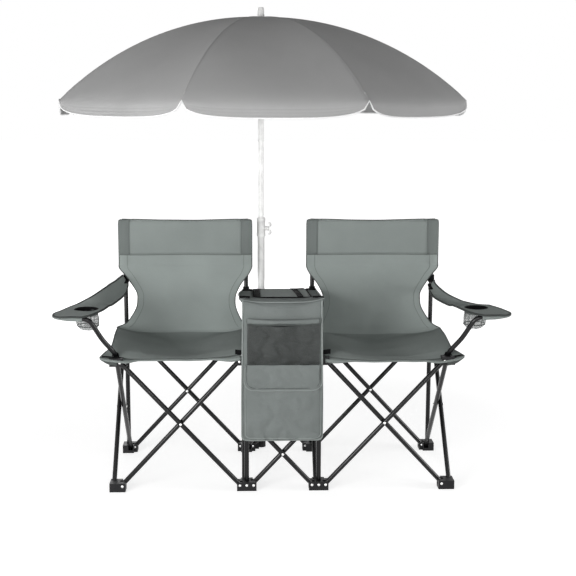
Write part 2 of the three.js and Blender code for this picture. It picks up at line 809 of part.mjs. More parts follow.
// The table top's height, which falls from the front posts to the back.
function tableZ(y) {
  return THREE.MathUtils.mapLinear(y, -planeY, tableBackY, tableFrontZ, tableBackZ);
}

// A slab between two places along the depth that follows the table top's slope.
function slopedSlab(fromY, toY, halfWidth, bottomRise, topRise) {
  const outline = [
    new THREE.Vector2(fromY, tableZ(fromY) + bottomRise),
    new THREE.Vector2(toY, tableZ(toY) + bottomRise),
    new THREE.Vector2(toY, tableZ(toY) + topRise),
    new THREE.Vector2(fromY, tableZ(fromY) + topRise),
  ];
  return prismAcross(outline, -halfWidth, halfWidth);
}

function addCooler() {
  const rimFrontY = -planeY + tubeRadius + postClearance;
  const neckHalfWidth = innerX - tubeRadius - postClearance;
  const tub = [
    new THREE.Vector2(bagFrontY, bagBottom),
    new THREE.Vector2(bagBackY, bagBottom),
    new THREE.Vector2(bagBackY, tableZ(bagBackY) - rimThickness / 2),
    new THREE.Vector2(bagFrontY, tableZ(bagFrontY) - rimThickness / 2),
  ];
  const cavityLow = new THREE.Vector3(-bagHalfWidth + bagWall, bagFrontY + bagWall, bagBottom + bagWall);
  const cavityHigh = new THREE.Vector3(bagHalfWidth - bagWall, bagBackY - bagWall, tableFrontZ + overrun);
  const bag = prismAcross(tub, -bagHalfWidth, bagHalfWidth)
    .add(slopedSlab(rimFrontY, tableBackY, tableHalfWidth, -rimThickness, 0))
    .add(slopedSlab(panelBack - panelThickness, rimFrontY + rimThickness, neckHalfWidth, -rimThickness, 0))
    .add(organiser())
    .subtract(boxBetween(cavityLow, cavityHigh));
  addPiece("cooler_bag", bag, bagCloth);
  const strapEnd = strapAside + strapWidth;
  const lidTop = seatGap + lidThickness;
  const lid = slopedSlab(lidFrontY, lidBackY, lidHalfWidth, seatGap, lidTop)
    .add(slopedSlab(lidFrontY, lidFrontY + strapWidth, strapEnd, lidTop - strapHeight, lidTop + strapHeight));
  addPiece("cooler_lid", lid, bagCloth);
}

// The hanging front organiser: a panel with rounded lower corners, two pockets and a flap.
function organiser() {
  const frontY = panelBack - panelThickness;
  const panelTop = tableZ(panelBack) - rimThickness / 2;
  const panel = prismThrough(roundedPanel(panelHalfWidth, panelBottom, panelTop), frontY, panelBack);
  const lap = panelThickness / 2;
  const upper = boxBetween(
    new THREE.Vector3(-panelHalfWidth + meshPocketInset, frontY + lap, meshPocketBottom),
    new THREE.Vector3(panelHalfWidth - meshPocketInset, frontY - meshPocketDepth, meshPocketTop),
  );
  const lowerHalf = panelHalfWidth - lowPocketInset;
  const lower = prismThrough(
    roundedPanel(lowerHalf, lowPocketBottom, meshPocketBottom),
    frontY - lowPocketDepth,
    frontY + lap,
  );
  const flap = boxBetween(
    new THREE.Vector3(-lowerHalf, frontY + lap, flapBottom),
    new THREE.Vector3(lowerHalf, frontY - flapDepth, meshPocketBottom),
  );
  return joined([panel, upper, lower, flap]);
}

function roundedPanel(halfWidth, bottom, top) {
  const points = [new THREE.Vector2(halfWidth, top), new THREE.Vector2(-halfWidth, top)];
  for (const [side, turn] of [
    [-1, Math.PI],
    [1, 1.5 * Math.PI],
  ]) {
    for (let i = 0; i <= panelCornerSteps; i++) {
      const angle = turn + (Math.PI / 2) * (i / panelCornerSteps);
      const x = side * (halfWidth - panelCorner) + panelCorner * Math.cos(angle);
      points.push(new THREE.Vector2(x, bottom + panelCorner + panelCorner * Math.sin(angle)));
    }
  }
  return points;
}

// The umbrella's own axis, and the arc that its ribs and canopy follow
const rimDrop = apexHeight - rimHeight;
const domeRadius = (canopyRadius ** 2 + rimDrop ** 2) / (2 * rimDrop);

function poleAt(z) {
  return new THREE.Vector3(poleX, poleY, z);
}

function domeZ(radius, inset) {
  return apexHeight - domeRadius + Math.sqrt((domeRadius - inset) ** 2 - radius ** 2);
}

// A point of a rib's line, at a radius from the pole. Angles are counted from the front, towards the right.
function aroundPole(angle, radius, z) {
  return new THREE.Vector3(poleX + radius * Math.sin(angle), poleY - radius * Math.cos(angle), z);
}

function addPoles() {
  const lower = barAlong([poleAt(footFloor + seatGap), poleAt(lowerPoleTop)], lowerPoleRadius, poleSides);
  const collar = barAlong([poleAt(collarBottom), poleAt(lowerPoleTop)], collarRadius, poleSides);
  const knobAxis = poleAt(knobZ);
  const bossEnds = [knobAxis, offset(knobAxis, [right, knobBossReach])];
  const boss = barAlong(bossEnds, knobBossRadius, headSides);
  const bore = barAlong([poleAt(0), poleAt(collarBottom)], lowerPoleRadius - lowerPoleWall, poleSides);
  const neck = barAlong([poleAt(0), poleAt(lowerPoleTop + overrun)], upperPoleRadius + boreGap, poleSides);
  const threadEnds = [
    offset(knobAxis, [right, knobShankInset - runningGap]),
    offset(knobAxis, [right, overrun]),
  ];
  const thread = barAlong(threadEnds, knobShankRadius + boreGap, headSides);
  addPiece("lower_pole", cutBy(joined([lower, collar, boss]), [bore, neck, thread]), whiteSteel);

  const upperEnds = [poleAt(upperPoleBottom), poleAt(apexHeight)];
  const upper = barAlong(upperEnds, upperPoleRadius, poleSides, upperPoleRadius - upperPoleWall);
  addPiece("upper_pole", upper.add(finial()), whiteSteel);

  const shankEnds = [
    offset(knobAxis, [right, knobShankInset]),
    offset(knobAxis, [right, knobBossReach + knobHubLength]),
  ];
  const hubStart = knobBossReach + seatGap;
  const hubEnds = [offset(knobAxis, [right, hubStart]), offset(knobAxis, [right, hubStart + knobHubLength])];
  const wingLow = offset(knobAxis, [right, hubStart], [front, wingThickness / 2], [up, -wingHeight]);
  const wingHigh = offset(knobAxis, [right, hubStart + wingReach], [back, wingThickness / 2], [up, wingHeight]);
  const knob = joined([
    barAlong(shankEnds, knobShankRadius, headSides),
    barAlong(hubEnds, knobHubRadius, headSides),
    boxBetween(wingLow, wingHigh),
  ]);
  addPiece("clamp_knob", knob, whiteSteel);
}

// The peg over the canopy's top, tapered and with a rounded end.
function finial() {
  const pegBottom = apexHeight + seatGap;
  const profile = [
    new THREE.Vector2(0, pegBottom),
    new THREE.Vector2(finialRadius, pegBottom),
    new THREE.Vector2(finialTopRadius, finialTop - finialRound),
    new THREE.Vector2(finialTopRadius - finialRound, finialTop),
    new THREE.Vector2(0, finialTop),
  ];
  const turned = new THREE.LatheGeometry(profile, poleSides);
  turned.rotateX(Math.PI / 2).translate(poleX, poleY, 0);
  const coreEnds = [poleAt(apexHeight - crownHeight), poleAt(pegBottom + finialRound)];
  return solidOf(turned).add(barAlong(coreEnds, upperPoleRadius, poleSides));
}

function addCanopy() {
  const holeRadius = (upperPoleRadius + boreGap) / Math.cos(Math.PI / ribCount);
  const radii = [holeRadius];
  for (let i = 1; i <= domeSteps; i++) {
    radii.push((canopyRadius * i) / domeSteps);
  }
  const columns = ribCount * panelSteps;
  const ringOf = (radius, height) => {
    const ring = [];
    for (let i = 0; i < columns; i++) {
      const rib = Math.floor(i / panelSteps);
      const share = (i % panelSteps) / panelSteps;
      const angle = firstRibAngle + (2 * Math.PI * rib) / ribCount;
      const next = angle + (2 * Math.PI) / ribCount;
      const z = height(share);
      ring.push(aroundPole(angle, radius, z).lerp(aroundPole(next, radius, z), share));
    }
    return ring;
  };
  const hemZ = (share) => {
    const fullness = Math.sqrt(Math.sin(Math.PI * share));
    return rimHeight - valanceLeast - (valanceDrop - valanceLeast) * fullness;
  };
  const outer = radii.map((radius) => ringOf(radius, () => domeZ(radius, 0)));
  outer.push(ringOf(canopyRadius, hemZ));
  const inner = radii.map((radius) => {
    const inset = radius === canopyRadius ? canopyCloth : 0;
    return ringOf(radius - inset, () => domeZ(radius, 0) - canopyCloth);
  });
  inner.push(ringOf(canopyRadius - canopyCloth, hemZ));
  addPiece("canopy", skin(outer, inner, true), canopyFabric);
}

// The crown, the eight ribs, the runner and the stretchers, which open and close as one set.
function addRibFrame() {
  const inset = canopyCloth + ribGap + ribRadius;
  const crownTop = domeZ(0, canopyCloth + ribGap);
  const pieces = [
    barAlong([poleAt(crownTop - crownHeight), poleAt(crownTop)], crownRadius, poleSides),
    barAlong([poleAt(runnerBottom), poleAt(runnerTop)], runnerRadius, poleSides),
  ];
  for (let rib = 0; rib < ribCount; rib++) {
    const angle = firstRibAngle + (2 * Math.PI * rib) / ribCount;
    const nearest = upperPoleRadius + ribRadius;
    const stations = [aroundPole(angle, nearest, domeZ(nearest, inset))];
    for (let i = 1; i <= domeSteps; i++) {
      const radius = (canopyRadius * i) / domeSteps;
      stations.push(aroundPole(angle, radius, domeZ(radius, inset)));
    }
    const [before, rim] = stations.slice(-2);
    rim.lerp(before, (ribTipInset * domeSteps) / canopyRadius);
    const joint = canopyRadius * stretcherShare;
    const runnerPoint = aroundPole(angle, nearest, (runnerBottom + runnerTop) / 2);
    pieces.push(barAlong(stations, ribRadius, ribSides));
    pieces.push(barAlong([runnerPoint, aroundPole(angle, joint, domeZ(joint, inset))], ribRadius, ribSides));
  }
  const boreEnds = [poleAt(runnerBottom - overrun), poleAt(finialTop)];
  const bore = barAlong(boreEnds, upperPoleRadius + runningGap, poleSides);
  addPiece("rib_frame", joined(pieces).subtract(bore), whiteSteel);
}

// The clip that ties the pole to the upright beside it.
function addPoleClip() {
  const uprightFoot = new THREE.Vector3(-innerX, planeY, clipBottom);
  const poleFoot = poleAt(clipBottom);
  const rise = clipTop - clipBottom;
  const reach = new THREE.Vector3().subVectors(poleFoot, uprightFoot).normalize();
  const side = new THREE.Vector3().crossVectors(up, reach);
  const webCorners = [
    offset(uprightFoot, [reach, boreRadius + clipWall / 2], [side, -clipWebWidth / 2]),
    offset(poleFoot, [reach, -lowerPoleRadius - clipWall / 2], [side, -clipWebWidth / 2]),
    offset(poleFoot, [reach, -lowerPoleRadius - clipWall / 2], [side, clipWebWidth / 2]),
    offset(uprightFoot, [reach, boreRadius + clipWall / 2], [side, clipWebWidth / 2]),
  ];
  const web = prism(
    webCorners.map((corner) => new THREE.Vector2(corner.x, corner.y)),
    clipBottom,
    clipTop,
  );
  const clip = joined([
    barAlong([uprightFoot, offset(uprightFoot, [up, rise])], boreRadius + clipWall, poleSides),
    barAlong([poleFoot, offset(poleFoot, [up, rise])], lowerPoleRadius + boreGap + clipWall, poleSides),
    web,
  ]);
  const through = (foot) => [offset(foot, [up, -rise]), offset(foot, [up, 2 * rise])];
  const cuts = [
    barAlong(through(uprightFoot), boreRadius, tubeSides),
    barAlong(through(poleFoot), lowerPoleRadius + boreGap, poleSides),
  ];
  addPiece("pole_clip", cutBy(clip, cuts), moulding);
}

addFeet();
addRowPairs();
addSidePairs();
addSliders();
addSling(-1, "sling_left");
addSling(1, "sling_right");
addArmrest(-1, "left");
addArmrest(1, "right");
addCooler();
addPoleClip();
addPoles();
addCanopy();
addRibFrame();

// The origin lies on the ground, under the middle of the width between the canopy's left rib tips and the
// right armrest's tip, and under the pole.
const canopyReach = Math.max(
  ...Array.from({ length: ribCount }, (_, rib) =>
    Math.abs(canopyRadius * Math.sin(firstRibAngle + (2 * Math.PI * rib) / ribCount)),
  ),
);
const leftmost = Math.min(poleX - canopyReach, -armrestTip);
model.position.set(-(leftmost + armrestTip) / 2, -poleY, 0);

export default model;
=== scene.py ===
import json
import math

import bpy
from mathutils import Matrix, Vector, noise


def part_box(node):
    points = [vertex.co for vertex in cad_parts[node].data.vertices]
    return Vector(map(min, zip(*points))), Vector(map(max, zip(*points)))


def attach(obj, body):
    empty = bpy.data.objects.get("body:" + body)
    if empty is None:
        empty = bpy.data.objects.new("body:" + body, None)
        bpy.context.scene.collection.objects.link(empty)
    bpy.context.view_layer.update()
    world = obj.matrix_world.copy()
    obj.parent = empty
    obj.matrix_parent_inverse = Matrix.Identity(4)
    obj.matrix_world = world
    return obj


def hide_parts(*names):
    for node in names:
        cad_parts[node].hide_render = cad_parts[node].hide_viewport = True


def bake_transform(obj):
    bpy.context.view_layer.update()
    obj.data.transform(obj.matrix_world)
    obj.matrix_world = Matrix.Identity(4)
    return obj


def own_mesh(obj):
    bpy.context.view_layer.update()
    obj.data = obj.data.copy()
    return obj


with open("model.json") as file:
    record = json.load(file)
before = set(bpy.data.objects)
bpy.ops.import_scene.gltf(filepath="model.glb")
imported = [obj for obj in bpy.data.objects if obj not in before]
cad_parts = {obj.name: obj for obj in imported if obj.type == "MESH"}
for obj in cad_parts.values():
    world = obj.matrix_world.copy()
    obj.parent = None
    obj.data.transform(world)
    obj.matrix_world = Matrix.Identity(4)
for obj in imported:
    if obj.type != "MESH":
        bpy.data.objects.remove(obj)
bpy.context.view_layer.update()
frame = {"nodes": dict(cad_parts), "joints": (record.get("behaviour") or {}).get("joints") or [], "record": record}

# Double folding camp chair with a table-cooler between the seats and an umbrella.
# Metres, +Z up, front at -Y.
X = Vector((1, 0, 0))
Y = Vector((0, 1, 0))
Z = Vector((0, 0, 1))
BODY = {node: body for body, nodes in frame["record"]["behaviour"]["bodies"].items() for node in nodes}
JOINTS = {joint["name"]: joint for joint in frame["joints"]}


def pivot(joint):
    return Vector(JOINTS[joint]["pos_m"])


def middle_x(node):
    low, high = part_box(node)
    return (low.x + high.x) / 2


# Places of the frame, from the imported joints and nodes
COLUMN_X = [middle_x(f"upright_back_{i}") for i in (1, 2, 3, 4)]
BACK_Y = pivot("fold").y
FRONT_Y = pivot("cross_front_left_b_turn").y
CENTRE = Vector(((COLUMN_X[1] + COLUMN_X[2]) / 2, (BACK_Y + FRONT_Y) / 2, 0))
PLANE_Y = (BACK_Y - FRONT_Y) / 2
INNER_X = COLUMN_X[2] - CENTRE.x
OUTER_X = COLUMN_X[3] - CENTRE.x
FOOT_Z = pivot("fold").z
SEAT_Z = pivot("slider_back_1_turn").z
TABLE_Z = pivot("lower_slider_back_2_turn").z
INSET = COLUMN_X[1] - pivot("fold").x
CHAIR_SPAN = OUTER_X - INNER_X - 2 * INSET
TABLE_SPAN = 2 * INNER_X - 2 * INSET
POLE = pivot("knob_turn")

# Tubes and rivets
TUBE_R = 0.008
TUBE_END = 0.0045
LAY = 0.0085
OUTER_FACE = 0.0205
CORE_HALF = 0.0116
HEAD_R = 0.0046
HEAD_H = 0.0022
SEAT_GAP = 0.0003
UPRIGHT_TOP = 0.866
POST_TOP = 0.655
FOOT_FLOOR = 0.0043
WELD_REACH = 0.00002
MOULDING_EDGE = 0.0014

# Cloth
CLOTH = 0.0016
SLING_TOP = 0.876
POCKET_BOTTOM = 0.712
POCKET_TOP = SLING_TOP - 0.004
POCKET_HALF = 0.0215
POCKET_R = 0.0105
SLING_FRONT = 0.0095
SLING_SAG = 0.02
SLING_DIP = 0.022
SLING_FLAP = 0.022
FOLDED_TABLE_SHARE = 0.33


def at(x, y, z):
    """A place counted from the middle between the columns."""
    return CENTRE + Vector((x, y, z))


# Materials

def fill(tree, socket, value):
    """Links a socket to another node's output, or gives it a value."""
    if isinstance(value, bpy.types.NodeSocket):
        tree.links.new(value, socket)
    else:
        socket.default_value = value


def add_node(tree, kind, settings=None, **inputs):
    made = tree.nodes.new("ShaderNode" + kind)
    for name, value in (settings or {}).items():
        setattr(made, name, value)
    for name, value in inputs.items():
        fill(tree, made.inputs[name.replace("_", " ")], value)
    return made


class Finish:
    """A Principled material with helpers that add nodes to it."""

    def __init__(self, name, color, roughness, metallic=0.0, sheen=0.0):
        self.material = bpy.data.materials.new(name)
        self.material.use_nodes = True
        self.tree = self.material.node_tree
        self.shader = self.tree.nodes["Principled BSDF"]
        self.color = color
        self.set("Base Color", (*color, 1))
        self.set("Roughness", roughness)
        self.set("Metallic", metallic)
        self.set("Sheen Weight", sheen)
        self.height = None

    def set(self, socket, value):
        fill(self.tree, self.shader.inputs[socket], value)

    def node(self, kind, settings=None, **inputs):
        return add_node(self.tree, kind, settings, **inputs)

    def place(self, kind="Object"):
        return self.node("TexCoord").outputs[kind]

    def noise(self, scale, detail=3.0, stretch=None):
        vector = self.place()
        if stretch:
            vector = self.node("Mapping", Vector=vector, Scale=stretch).outputs["Vector"]
        return self.node("TexNoise", Vector=vector, Scale=scale, Detail=detail).outputs["Fac"]

    def remap(self, value, low, high):
        """Spreads the middle half of a noise's range from low to high."""
        made = self.node("MapRange", Value=value, From_Min=0.25, From_Max=0.75, To_Min=low, To_Max=high)
        return made.outputs["Result"]

    def math(self, operation, a, b):
        made = self.node("Math", {"operation": operation})
        for socket, value in zip(made.inputs, (a, b)):
            fill(self.tree, socket, value)
        return made.outputs[0]

    def shade(self, factor, spread):
        """Lightens and darkens the colour by up to spread where factor runs from 0 to 1."""
        dark = tuple(c * (1 - spread) for c in self.color)
        light = tuple(min(1.0, c * (1 + spread)) for c in self.color)
        ramp = self.node("ValToRGB", Fac=factor)
        ramp.color_ramp.elements[0].position = 0.3
        ramp.color_ramp.elements[0].color = (*dark, 1)
        ramp.color_ramp.elements[1].position = 0.7
        ramp.color_ramp.elements[1].color = (*light, 1)
        self.set("Base Color", ramp.outputs["Color"])

    def bump(self, height, distance, strength=1.0):
        made = self.node("Bump", Height=height, Distance=distance, Strength=strength)
        if self.height:
            self.tree.links.new(self.height, made.inputs["Normal"])
        self.height = made.outputs["Normal"]
        self.set("Normal", self.height)

    def threads(self, pitch, axis):
        """Bands across a cloth's own directions, one for each thread."""
        scale = 2 * math.pi / (20 * pitch)
        settings = {"wave_type": "BANDS", "bands_direction": axis}
        return self.node("TexWave", settings, Vector=self.place("UV"), Scale=scale).outputs["Fac"]

    def weave(self, pitch, depth):
        crossed = self.math("MULTIPLY", self.threads(pitch, "X"), self.threads(pitch, "Y"))
        self.bump(crossed, depth, 0.6)


def cloth_finish(name, color, pitch=0.0011, wrinkle=0.004, spread=0.07):
    made = Finish(name, color, 0.88, sheen=0.03)
    made.set("Sheen Roughness", 0.5)
    made.set("IOR", 1.12)
    broad = made.noise(7.0, 4.0)
    fine = made.noise(420.0, 2.0)
    mixed = made.math("ADD", made.math("MULTIPLY", broad, 0.72), made.math("MULTIPLY", fine, 0.28))
    made.shade(mixed, spread)
    made.set("Roughness", made.remap(broad, 0.8, 0.96))
    made.bump(made.noise(16.0, 2.0), wrinkle, 0.35)
    made.weave(pitch, 0.0004)
    return made.material


def webbing_finish():
    made = Finish("black_webbing", (0.007, 0.007, 0.0075), 0.8)
    made.set("IOR", 1.12)
    made.shade(made.noise(260.0), 0.35)
    made.bump(made.threads(0.0022, "X"), 0.0005, 0.7)
    made.bump(made.threads(0.0016, "Y"), 0.0003, 0.5)
    made.set("Roughness", made.remap(made.noise(90.0), 0.7, 0.9))
    return made.material


def painted_steel(name, color, roughness, gloss):
    made = Finish(name, color, roughness)
    made.set("Specular IOR Level", gloss)
    made.shade(made.noise(38.0, 5.0), 0.12)
    scuffs = made.noise(60.0, 6.0, stretch=(1, 1, 0.15))
    made.set("Roughness", made.remap(scuffs, roughness * 0.8, roughness * 1.35))
    made.bump(made.noise(900.0, 2.0), 0.00012, 0.5)
    return made.material


def moulded_plastic():
    made = Finish("moulded_plastic", (0.009, 0.009, 0.01), 0.5)
    made.set("Specular IOR Level", 0.25)
    made.shade(made.noise(55.0, 4.0), 0.25)
    made.set("Roughness", made.remap(made.noise(140.0, 5.0), 0.4, 0.58))
    made.bump(made.noise(1500.0, 3.0), 0.00015, 0.6)
    return made.material


def rivet_metal():
    made = Finish("rivet_metal", (0.86, 0.86, 0.85), 0.3, metallic=0.75)
    made.shade(made.noise(300.0), 0.08)
    made.set("Roughness", made.remap(made.noise(500.0, 4.0), 0.22, 0.42))
    return made.material


def net_finish(name, color, cell, hole):
    """An open net: threads in two directions with holes between them."""
    made = Finish(name, color, 0.7, sheen=0.1)
    # Streaks of stretched noise lighten and darken the net: painted shading of its wrinkles.
    made.shade(made.noise(17.0, 2.0, stretch=(1, 1, 0.55)), 0.3)
    across = made.threads(cell, "X")
    along = made.threads(cell, "Y")
    thread = made.math("MAXIMUM", across, along)
    solid = made.math("GREATER_THAN", thread, hole)
    made.bump(thread, 0.0004, 0.6)
    made.set("Alpha", solid)
    return made.material


CHAIR_CLOTH = cloth_finish("chair_cloth", (0.285, 0.318, 0.305))
BAND_CLOTH = cloth_finish("band_cloth", (0.25, 0.278, 0.267))
# The sleeve cloth is a darker copy of the chair cloth: painted shade where the cloth wraps round the uprights.
SHADED_SLEEVE_CLOTH = cloth_finish("shaded_sleeve_cloth", (0.168, 0.187, 0.18))
# The seat cloth is a darker copy of the chair cloth: painted shade on the seat, seat hem and seat halves.
SHADED_SEAT_CLOTH = cloth_finish("shaded_seat_cloth", (0.22, 0.245, 0.235))
SEAM_CLOTH = cloth_finish("seam_thread", (0.17, 0.19, 0.182), pitch=0.0008, wrinkle=0.001)
BAG_CLOTH = cloth_finish("bag_cloth", (0.185, 0.204, 0.198), wrinkle=0.014, spread=0.13)
ARM_CLOTH = cloth_finish("arm_cloth", (0.25, 0.276, 0.266), wrinkle=0.004)
# The lid cloth is a lighter copy of the bag cloth: painted light on the lid's top.
LIT_LID_CLOTH = cloth_finish("lit_lid_cloth", (0.3, 0.328, 0.318), wrinkle=0.006)
BINDING = cloth_finish("edge_binding", (0.075, 0.083, 0.08), pitch=0.0008, wrinkle=0.001)
LIGHT_PIPING = cloth_finish("light_piping", (0.27, 0.295, 0.285), pitch=0.0008, wrinkle=0.001)
CANOPY_CLOTH = cloth_finish("canopy_cloth", (0.385, 0.385, 0.385), pitch=0.0007, wrinkle=0.002, spread=0.04)
WHITE_TRIM = cloth_finish("white_trim", (0.88, 0.88, 0.88), pitch=0.0008, wrinkle=0.001, spread=0.03)
ARM_EDGE = cloth_finish("armrest_edge", (0.06, 0.066, 0.064), pitch=0.0008, wrinkle=0.001)
WEBBING = webbing_finish()
BLACK_STEEL = painted_steel("black_steel", (0.005, 0.005, 0.0054), 0.22, 0.3)
WHITE_STEEL = painted_steel("white_steel", (0.84, 0.84, 0.83), 0.34, 0.5)
PLASTIC = moulded_plastic()
RIVET = rivet_metal()
NET = net_finish("pocket_net", (0.045, 0.05, 0.048), 0.0024, 0.62)
CUP_NET = net_finish("cup_net", (0.16, 0.172, 0.168), 0.0034, 0.72)


# Mesh making

STRAP_EDGE_STEPS = 3
ROD_END = 0.5
WEBBING_THICK = 0.0018
RING_THICK = 0.002
POST_RING_R = 0.0104
ARM_RING_R = 0.0105


class Shape:
    """Points, faces and cloth coordinates of a mesh that is being put together."""

    def __init__(self):
        self.points = []
        self.faces = []
        self.uvs = []

    def add(self, points, faces, uvs):
        start = len(self.points)
        self.points.extend(points)
        self.faces.extend([[start + i for i in face] for face in faces])
        self.uvs.extend(uvs)
        return self


def shares(steps):
    """Evenly spaced values from 0 to 1."""
    return [i / steps for i in range(steps + 1)]


def grid(rows, closed=False):
    """A surface through rows of points; closed joins each row's ends."""
    shape = Shape()
    count = len(rows[0])
    mid = count // 2
    u = 0.0
    points = []
    uvs = []
    for i, row in enumerate(rows):
        if i:
            u += (row[mid] - rows[i - 1][mid]).length
        v = 0.0
        for j, point in enumerate(row):
            if j:
                v += (point - row[j - 1]).length
            points.append(point)
            uvs.append((v, u))
    faces = []
    spans = count if closed else count - 1
    for i in range(len(rows) - 1):
        for j in range(spans):
            k = (j + 1) % count
            faces.append([i * count + j, i * count + k, (i + 1) * count + k, (i + 1) * count + j])
    return shape.add(points, faces, uvs)


def circle(radius, sides, flat=1.0):
    turn = [2 * math.pi * i / sides for i in range(sides)]
    return [(radius * math.cos(a), radius * flat * math.sin(a)) for a in turn]


def flat_section(width, thickness):
    """A strap's section: a flat bar with round edges."""
    half = width / 2 - thickness / 2
    points = []
    for side, start in ((1, -math.pi / 2), (-1, math.pi / 2)):
        for i in range(STRAP_EDGE_STEPS + 1):
            angle = start + math.pi * i / STRAP_EDGE_STEPS
            points.append((side * half + thickness / 2 * math.cos(angle), thickness / 2 * math.sin(angle)))
    return points


def sweep(stations, section, up=None, scales=None, shape=None, loop=False):
    """Carries a section along stations. Its first coordinate lies across and its second along up."""
    shape = shape or Shape()
    last = len(stations) - 1
    tangents = []
    for i in range(last + 1):
        before = stations[i - 1] if i or loop else stations[0]
        after = stations[(i + 1) % (last + 1)] if i < last or loop else stations[last]
        tangents.append((after - before).normalized())
    side = tangents[0].orthogonal().normalized()
    points = []
    uvs = []
    along = 0.0
    count = len(section)
    for i, (station, tangent) in enumerate(zip(stations, tangents)):
        if up is not None:
            lift = up[i] if isinstance(up, list) else up
            side = tangent.cross(lift).normalized()
        else:
            side = (side - tangent * side.dot(tangent)).normalized()
        normal = side.cross(tangent)
        scale = scales[i] if scales else 1.0
        if i:
            along += (station - stations[i - 1]).length
        around = 0.0
        for j, (a, b) in enumerate(section):
            if j:
                around += math.dist(section[j], section[j - 1])
            points.append(station + side * a * scale + normal * b * scale)
            uvs.append((along, around))
    faces = []
    rings = last + 1 if loop else last
    for i in range(rings):
        n = (i + 1) % (last + 1)
        for j in range(count):
            k = (j + 1) % count
            faces.append([i * count + j, i * count + k, n * count + k, n * count + j])
    if not loop:
        faces.append(list(range(count))[::-1])
        faces.append([last * count + j for j in range(count)])
    return shape.add(points, faces, uvs)


def cord(line, radius, sides=8, shape=None, loop=False):
    """A thin round seam, piping or thread along a line."""
    return sweep(line, circle(radius, sides), shape=shape, loop=loop)


def rod(stations, radius, sides=16, shape=None):
    """A round bar with softly rounded ends."""
    reach = radius * ROD_END
    first = (stations[1] - stations[0]).normalized()
    final = (stations[-1] - stations[-2]).normalized()
    start = [stations[0], stations[0] + first * reach * 0.3, stations[0] + first * reach]
    end = [stations[-1] - final * reach, stations[-1] - final * reach * 0.3, stations[-1]]
    ends = [1 - ROD_END * 0.6, 1 - ROD_END * 0.2, 1.0]
    scales = ends + [1.0] * (len(stations) - 2) + ends[::-1]
    return sweep(start + stations[1:-1] + end, circle(radius, sides), scales=scales, shape=shape)


def turned(centre, axis, profile, sides=24, shape=None):
    """A profile of (radius, height) pairs turned about an axis, closed at its ends."""
    stations = [centre + axis * height for _, height in profile]
    side = axis.orthogonal().normalized()
    other = axis.cross(side)
    points = []
    uvs = []
    for (radius, height), station in zip(profile, stations):
        for a, b in circle(radius, sides):
            points.append(station + side * a + other * b)
            uvs.append((math.atan2(b, a) * radius, height))
    faces = []
    for i in range(len(profile) - 1):
        for j in range(sides):
            k = (j + 1) % sides
            faces.append([i * sides + j, i * sides + k, (i + 1) * sides + k, (i + 1) * sides + j])
    faces.append(list(range(sides))[::-1])
    faces.append([(len(profile) - 1) * sides + j for j in range(sides)])
    return (shape or Shape()).add(points, faces, uvs)


def piece(name, shape, material, body, replaces=(), thickness=0.0, has_rim=True, sharp=None):
    """Makes an object of a shape, with its material, and lets it ride on a body."""
    mesh = bpy.data.meshes.new(name)
    mesh.from_pydata([tuple(point) for point in shape.points], [], shape.faces)
    layer = mesh.uv_layers.new(name="cloth")
    for loop in mesh.loops:
        layer.data[loop.index].uv = shape.uvs[loop.vertex_index]
    mesh.polygons.foreach_set("use_smooth", [True] * len(mesh.polygons))
    mesh.materials.append(material)
    made = bpy.data.objects.new(name, mesh)
    bpy.context.scene.collection.objects.link(made)
    if sharp is not None:
        mesh.set_sharp_from_angle(angle=math.radians(sharp))
    if thickness:
        solid = made.modifiers.new("thickness", "SOLIDIFY")
        solid.thickness = thickness
        solid.offset = 0
        solid.use_rim = has_rim
    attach(made, body)
    if replaces:
        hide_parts(*replaces)
    return made


def wobble(point, size, depth, seed=0.0):
    """A small smooth displacement that makes cloth look hand-sewn."""
    return depth * noise.noise(point / size + Vector((seed, seed * 0.7, seed * 1.3)))


def spline(table, share):
    """A smooth row between the rows of a table, at share spans from its first row."""
    last = len(table) - 1
    i = min(int(share), last - 1)
    t = share - i
    rows = [table[max(i - 1, 0)], table[i], table[i + 1], table[min(i + 2, last)]]
    values = []
    for a, b, c, d in zip(*rows):
        square = (2 * a - 5 * b + 4 * c - d) * t**2
        cube = (3 * b - a - 3 * c + d) * t**3
        values.append(0.5 * (2 * b + (c - a) * t + square + cube))
    return values


# Frame


def add_rivets(node, heads):
    """Domed rivet heads, each at a place and facing along a direction."""
    shape = Shape()
    share_steps = [(1.0, 0.0), (1.0, 0.25), (0.9, 0.62), (0.66, 0.88), (0.3, 1.0)]
    profile = [(HEAD_R * r, HEAD_H * h) for r, h in share_steps]
    for place, direction in heads:
        turned(place, direction, profile, sides=16, shape=shape)
    piece(f"rivets_{node}", shape, RIVET, BODY[node])


def face_of(lay, is_foot):
    return OUTER_FACE if is_foot or lay > 0 else CORE_HALF


def tube_piece(node, stations):
    piece(f"tube_{node}", rod(stations, TUBE_R, sides=20), BLACK_STEEL, BODY[node], (node,))


def add_tube(node, low, high, normal, lay, owns_crossing, heads, path=None):
    start = low + normal * lay * LAY
    end = high + normal * lay * LAY
    along = (end - start).normalized()
    tube_piece(node, path or [start - along * TUBE_END, end + along * TUBE_END])
    places = []
    if heads:
        for point, is_foot in ((low, True), (high, False)):
            places.append((point + normal * (face_of(lay, is_foot) + SEAT_GAP), normal))
    if owns_crossing:
        crossing = (low + high) / 2
        reach = LAY + TUBE_R + SEAT_GAP
        places.append((crossing + normal * reach, normal))
        places.append((crossing - normal * reach, -normal))
    if places:
        add_rivets(node, places)


def add_pair(names, start, along, span, rise, normal, lay_a, heads, path_b=None):
    end = start + along * span
    up = Z * rise
    add_tube(names[0], start, end + up, normal, lay_a, True, heads)
    add_tube(names[1], end, start + up, normal, -lay_a, False, heads, path_b)


